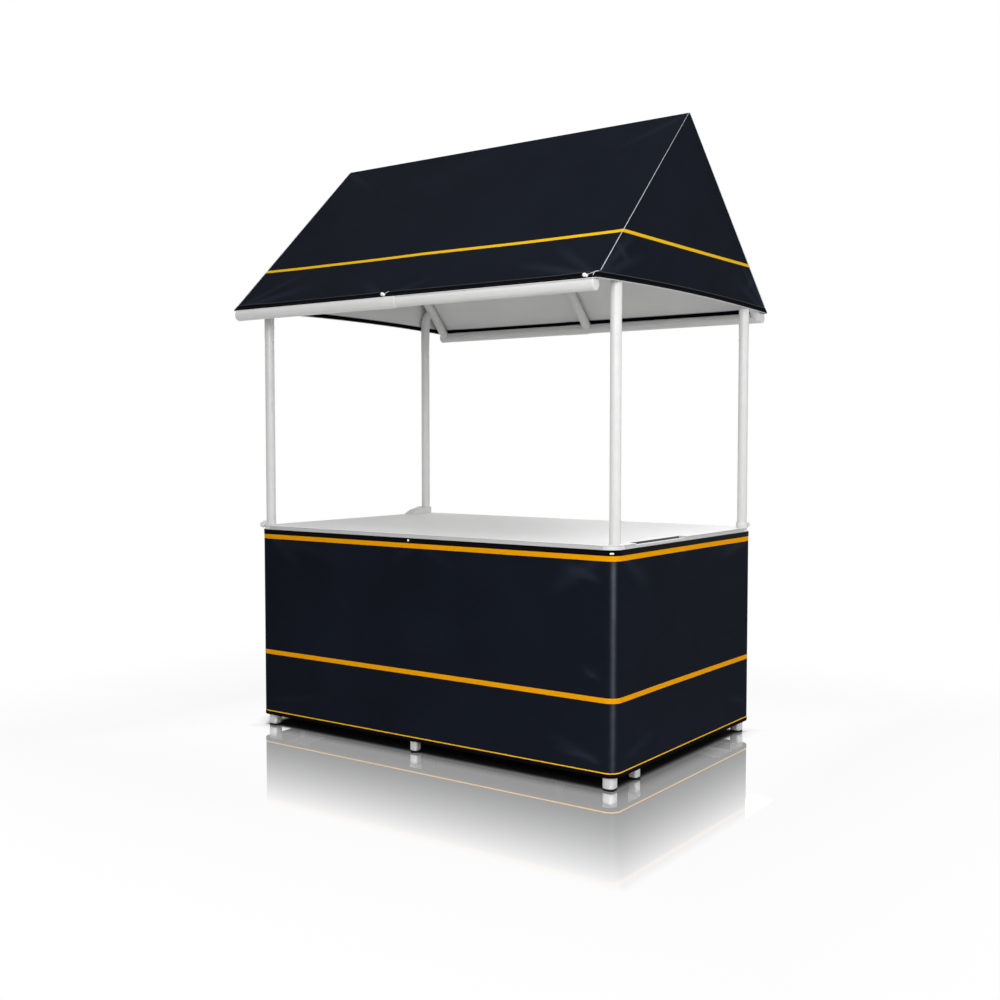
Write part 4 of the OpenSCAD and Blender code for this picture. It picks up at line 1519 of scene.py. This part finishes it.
def weld_line(middle, branch, main, branch_r, main_r, aside=0.0, steps=40):
    """The line where a branch tube meets a main tube at right angles. Where the branch passes
    aside of the main tube's axis, the line stops at the main tube's side."""
    branch, main = Vector(branch).normalized(), Vector(main).normalized()
    side = branch.cross(main).normalized()
    line = []
    for step in range(steps):
        turn = math.copysign(math.pi / 2, aside) + 2 * math.pi * step / steps
        off_main = branch_r * math.cos(turn)
        off_side = aside + branch_r * math.sin(turn)
        if abs(off_side) > main_r * 0.98:
            continue
        out = math.sqrt(main_r * main_r - off_side * off_side)
        line.append(Vector(middle) + main * off_main + side * off_side + branch * out)
    return line


class StallFrameOperator(bpy.types.Operator):
    """Finishes the tube frame: powder coat, weld seams, tube sleeves and spring buttons"""
    bl_idname = "stall.frame"
    bl_label = "Finish Tube Frame"

    def execute(self, context):
        kept = [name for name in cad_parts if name.startswith((
            "post_", "rafter_", "ridge_", "eave_", "corner_legs", "inner_legs", "long_base",
            "short_base", "top_rail", "cross_rail"))]
        kept = [name for name in kept if name != "eave_caps"]
        if len(kept) < 24:
            raise RuntimeError("the packed frame has too few tubes")
        for name in kept:
            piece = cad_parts[name]
            piece.data.materials.clear()
            piece.data.materials.append(FINISHES["powder"])

        down = Vector((0.0, math.cos(EAVE_SLOPE), -math.sin(EAVE_SLOPE)))
        lean = LEAN * (RIDGE_Z - EAVE_Z)
        rings, arcs = [], []
        for y_sign in SIGNS:
            way = Vector((0.0, y_sign * down.y, down.z))
            for x_sign in (-1, 0, 1):
                eave_r = SLEEVE_R if x_sign <= 0 else EAVE_R
                rings.append(weld_line((x_sign * (RAFTER_X - lean), 0.0, RIDGE_Z), way, (1, 0, 0),
                                       RAFTER_R, RIDGE_R - 0.001))
                rings.append(weld_line((x_sign * RAFTER_X, y_sign * EAVE_Y, EAVE_Z), -way, (1, 0, 0),
                                       RAFTER_R, eave_r - 0.001))
            # The post's head comes up to the rafter at right angles, a little outside its axis.
            head = Vector((0.0, -y_sign * math.sin(EAVE_SLOPE), -math.cos(EAVE_SLOPE)))
            turned_by = math.pi / 2 - EAVE_SLOPE
            start = Vector((0.0, y_sign * (POST_Y + POST_BEND_R * (1 - math.cos(turned_by))),
                            POST_BEND_Z + POST_BEND_R * math.sin(turned_by)))
            eave = Vector((0.0, y_sign * EAVE_Y, EAVE_Z))
            meet = eave - way * (start - eave).dot(-way)
            for x_sign in SIGNS:
                rafter_x = RAFTER_X - LEAN * (meet.z - EAVE_Z)
                side = head.cross(way).normalized()
                aside = (POST_X - rafter_x) * x_sign * side.x
                arcs.append(weld_line(Vector((x_sign * rafter_x, 0, 0)) + meet, head, way,
                                      POST_R, RAFTER_R, aside))
        ring = tube_along("weld_seams", rings, 0.0016, 8, closed=True)
        arc = tube_along("weld_arcs", arcs, 0.0016, 8)
        take(ring, arc)
        bpy.ops.object.join()
        finish_piece(bpy.context.object, "powder_white", FINISHES["powder"])

        # Moulded caps cover the ends of the eave tubes, with a softly rounded edge.
        caps = []
        for x_sign, radius in ((-1, SLEEVE_R + 0.0005), (1, EAVE_R + 0.0006)):
            end = (CAPS_HIGH.x if x_sign > 0 else -CAPS_LOW.x)
            cap = turned("eave_cap", [
                (radius - 0.0006, -0.0140), (radius, -0.0136), (radius, -0.0036), (radius - 0.0002, -0.0026),
                (radius - 0.0007, -0.0017), (radius - 0.0016, -0.0010), (radius - 0.0030, -0.0005),
                (radius - 0.0060, -0.0002), (radius - 0.0110, 0.0)], steps=64)
            smooth(cap, 50)
            caps.append(copies(cap, [
                from_to((x_sign * end, y * EAVE_Y, EAVE_Z), (x_sign * 2, y * EAVE_Y, EAVE_Z))
                for y in SIGNS]))
        take(*caps)
        bpy.ops.object.join()
        cap = named("eave_end_caps")
        finish_piece(cap, "powder_white", FINISHES["powder"], replaces=("eave_caps",))

        # Each post's upper length is a sleeve over the lower one, with a spring button below its lip.
        sleeve = turned("post_sleeves", [
            (POST_R + 0.00015, 0.0), (POST_R + 0.0008, 0.0004), (POST_R + 0.0008, 0.137),
            (POST_R + 0.0001, 0.1375)], steps=64)
        smooth(sleeve, 30)
        spots = [Vector((x * POST_X, y * POST_Y, SLEEVE_LIP_Z)) for x in SIGNS for y in SIGNS]
        sleeve = copies(sleeve, spots)
        finish_piece(sleeve, "powder_white", FINISHES["powder"])

        coupling = turned("eave_couplings", [
            (SLEEVE_R + 0.0001, 0.0), (SLEEVE_R + 0.0008, 0.0008), (SLEEVE_R + 0.0009, 0.0030),
            (SLEEVE_R + 0.0009, 0.122), (SLEEVE_R + 0.0006, 0.1245), (SLEEVE_R - 0.0016, 0.1252)], steps=64)
        smooth(coupling, 30)
        moves = [from_to((-0.125, y * EAVE_Y, EAVE_Z), (0.0, y * EAVE_Y, EAVE_Z)) for y in SIGNS]
        coupling = copies(coupling, moves)
        finish_piece(coupling, "powder_white", FINISHES["powder"])

        button = turned("spring_buttons", [
            (0.0042, -0.001), (0.0042, 0.0012), (0.0036, 0.0024), (0.0024, 0.0031),
            (0.0010, 0.0034)], steps=20)
        smooth(button, 30)
        moves = []
        for x_sign in SIGNS:
            for y_sign in SIGNS:
                start = Vector((x_sign * (POST_X - POST_R), y_sign * POST_Y, BUTTON_Z))
                moves.append(from_to(start, start + Vector((-x_sign, 0, 0))))
        button = copies(button, moves)
        finish_piece(button, "powder_white", FINISHES["silver"])
        return {"FINISHED"}


# ---- stage ------------------------------------------------------------------------------------

class StallStageOperator(bpy.types.Operator):
    """Sets the floor, the light and the camera"""
    bl_idname = "stall.stage"
    bl_label = "Set Stage"

    def execute(self, context):
        settings = context.scene.stall_stage
        let_go()
        bpy.ops.mesh.primitive_plane_add(size=settings.floor, location=(0, 0, 0))
        floor = named("stage_floor")
        floor.data.materials.append(self.floor_finish(settings))

        world = bpy.data.worlds.new("stage_light")
        context.scene.world = world
        world.use_nodes = True
        tree = world.node_tree
        tree.nodes.clear()
        even = node(tree, "ShaderNodeBackground", {"Color": (1, 1, 1, 1), "Strength": settings.sky})
        white = node(tree, "ShaderNodeBackground", {"Color": (1, 1, 1, 1), "Strength": 1.0})
        mix = node(tree, "ShaderNodeMixShader", {0: self.seen(tree), 1: even.outputs[0], 2: white.outputs[0]})
        node(tree, "ShaderNodeOutputWorld", {"Surface": mix.outputs[0]})

        self.soft_box("key_light", (4.0, -2.0, 2.1), (0.3, -0.2, 1.1), 2.2, settings.key)
        self.soft_box("front_light", (2.3, -4.2, 2.4), (0.4, -0.5, 1.2), 1.5, settings.front)
        self.soft_box("fill_light", (-0.9, -4.9, 1.4), (0.3, -0.5, 1.2), 1.6, settings.fill)
        self.soft_box("back_light", (-1.8, 5.8, 3.6), (0.2, 0.0, 1.0), 3.0, settings.back)
        self.soft_box("top_light", (1.4, -1.0, 5.4), (0.1, 0.0, 1.0), 3.0, settings.top)
        self.soft_box("side_light", (3.8, 1.5, 1.7), (0.6, 0.0, 1.3), 0.8, settings.side, 2.2)

        lens = bpy.data.cameras.new("stall_camera")
        camera = bpy.data.objects.new("stall_camera", lens)
        context.scene.collection.objects.link(camera)
        lens.sensor_width = 36.0
        lens.lens = CAMERA_LENS
        lens.clip_end = 500.0
        camera.location = CAMERA_PLACE
        camera.rotation_euler = CAMERA_TURN
        context.scene.camera = camera
        context.scene.view_settings.view_transform = "Standard"
        return {"FINISHED"}

    @staticmethod
    def soft_box(name, place, target, size, power, height=None):
        """A soft light that looks at a target, square unless its height is given"""
        light = bpy.data.lights.new(name, "AREA")
        light.shape = "RECTANGLE"
        light.size = size
        light.size_y = height or size
        light.energy = power
        lamp = bpy.data.objects.new(name, light)
        bpy.context.scene.collection.objects.link(lamp)
        lamp.location = place
        lamp.rotation_euler = (Vector(place) - Vector(target)).to_track_quat("Z", "Y").to_euler()

    @staticmethod
    def seen(tree):
        """1 for what the camera sees, itself or mirrored in another surface, and 0 for lighting"""
        path = node(tree, "ShaderNodeLightPath")
        return calc(tree, "MAXIMUM", path.outputs["Is Camera Ray"], calc(
            tree, "MAXIMUM", path.outputs["Is Glossy Ray"], path.outputs["Is Transmission Ray"]))

    @classmethod
    def floor_finish(cls, settings):
        """Polished white floor: a mirror beside the stall that fades to plain white further off.
        Under and just beside the stall its colour is painted shade.
        """
        material, tree, shader = new_finish("stage_floor_gloss")
        tree.nodes.remove(shader)
        split = node(tree, "ShaderNodeSeparateXYZ", {"Vector": object_place(tree)})
        off_x = calc(tree, "SUBTRACT", calc(tree, "ABSOLUTE", split.outputs[0]), SKIRT_X)
        off_y = calc(tree, "SUBTRACT", calc(tree, "ABSOLUTE", split.outputs[1]), SKIRT_Y)
        away = calc(tree, "MAXIMUM", calc(tree, "DIVIDE", off_x, settings.mirror_side),
                    calc(tree, "DIVIDE", off_y, settings.mirror_front))
        away = node(tree, "ShaderNodeMapRange", {"Value": away}).outputs[0]
        # Beside the front end of the left side the shade reaches a little further out.
        left = node(tree, "ShaderNodeMapRange", {
            "Value": calc(tree, "ABSOLUTE", calc(tree, "ADD", split.outputs[1], 0.36)),
            "From Min": 0.22, "From Max": 0.12, "To Max": 0.08}).outputs[0]
        left = calc(tree, "MULTIPLY", left, calc(tree, "LESS_THAN", split.outputs[0], 0.0))
        even = calc(tree, "MAXIMUM", off_x, off_y)
        off = calc(tree, "MAXIMUM", calc(tree, "SUBTRACT", off_x, left), off_y)

        def ramp(start, end, top=1.0, reach=off):
            """0 nearer the stall than the start, and the top value beyond the end, by a distance off it"""
            return node(tree, "ShaderNodeMapRange", {
                "Value": reach, "From Min": start, "From Max": end, "To Max": top},
                interpolation_type="SMOOTHSTEP").outputs[0]

        mirror = calc(tree, "SUBTRACT", 1.0, calc(tree, "POWER", away, 2.0))
        mirror = calc(tree, "MULTIPLY", calc(tree, "MULTIPLY", mirror, settings.mirror), ramp(-0.040, 0.0))
        beside = calc(tree, "MAXIMUM", ramp(-0.045, 0.07, 0.90), ramp(-0.02, 0.04, 0.33, even))
        far = ramp(0.1, 2.0, 0.10)
        # The floor's colour goes near black under the stall and just beside it: painted shade.
        shade = blend_colour(tree, ramp(-0.06, 0.02), (0.02, 0.02, 0.02, 1), (0.62, 0.62, 0.62, 1))
        paper = node(tree, "ShaderNodeBsdfDiffuse", {"Color": shade})
        white = node(tree, "ShaderNodeEmission", {"Color": (1, 1, 1, 1), "Strength": 1.0})
        plain = node(tree, "ShaderNodeMixShader", {
            0: calc(tree, "MULTIPLY", calc(tree, "ADD", beside, far), cls.seen(tree)),
            1: paper.outputs[0], 2: white.outputs[0]})
        polish = node(tree, "ShaderNodeBsdfGlossy", {"Color": (1, 1, 1, 1), "Roughness": 0.03})
        mix = node(tree, "ShaderNodeMixShader", {0: mirror, 1: plain.outputs[0], 2: polish.outputs[0]})
        output = next(n for n in tree.nodes if n.bl_idname == "ShaderNodeOutputMaterial")
        tree.links.new(mix.outputs[0], output.inputs["Surface"])
        return material


class StallPanel(bpy.types.Panel):
    """Lists the stall's settings and pieces"""
    bl_idname = "VIEW3D_PT_stall"
    bl_label = "Market Stall"
    bl_space_type = "VIEW_3D"
    bl_region_type = "UI"
    bl_category = "Stall"

    def draw(self, context):
        for group in ("stall_canopy", "stall_skirt", "stall_finish", "stall_stage"):
            box = self.layout.box()
            settings = getattr(context.scene, group)
            for key in settings.bl_rna.properties.keys():
                if key not in ("rna_type", "name"):
                    box.prop(settings, key)
        for operator in OPERATORS:
            self.layout.operator(operator.bl_idname)


SETTINGS = (
    ("stall_canopy", StallCanopySettings), ("stall_skirt", StallSkirtSettings),
    ("stall_finish", StallFinishSettings), ("stall_stage", StallStageSettings),
)
OPERATORS = (
    StallStageOperator, StallFrameOperator, StallSocketsOperator, StallBoardOperator, StallFeetOperator,
    StallSkirtOperator, StallCanopyOperator, StallTogglesOperator,
)
CLASSES = tuple(kind for _, kind in SETTINGS) + OPERATORS + (StallPanel,)


def register():
    for kind in CLASSES:
        bpy.utils.register_class(kind)
    for name, kind in SETTINGS:
        setattr(bpy.types.Scene, name, bpy.props.PointerProperty(type=kind))


def unregister():
    for name, _ in SETTINGS:
        delattr(bpy.types.Scene, name)
    for kind in reversed(CLASSES):
        bpy.utils.unregister_class(kind)


def main():
    register()
    make_finishes(bpy.context)
    bpy.ops.stall.stage()
    bpy.ops.stall.frame()
    bpy.ops.stall.sockets()
    bpy.ops.stall.board()
    bpy.ops.stall.feet()
    bpy.ops.stall.skirt()
    bpy.ops.stall.canopy()
    bpy.ops.stall.toggles()
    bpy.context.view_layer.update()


if __name__ == "__main__":
    main()
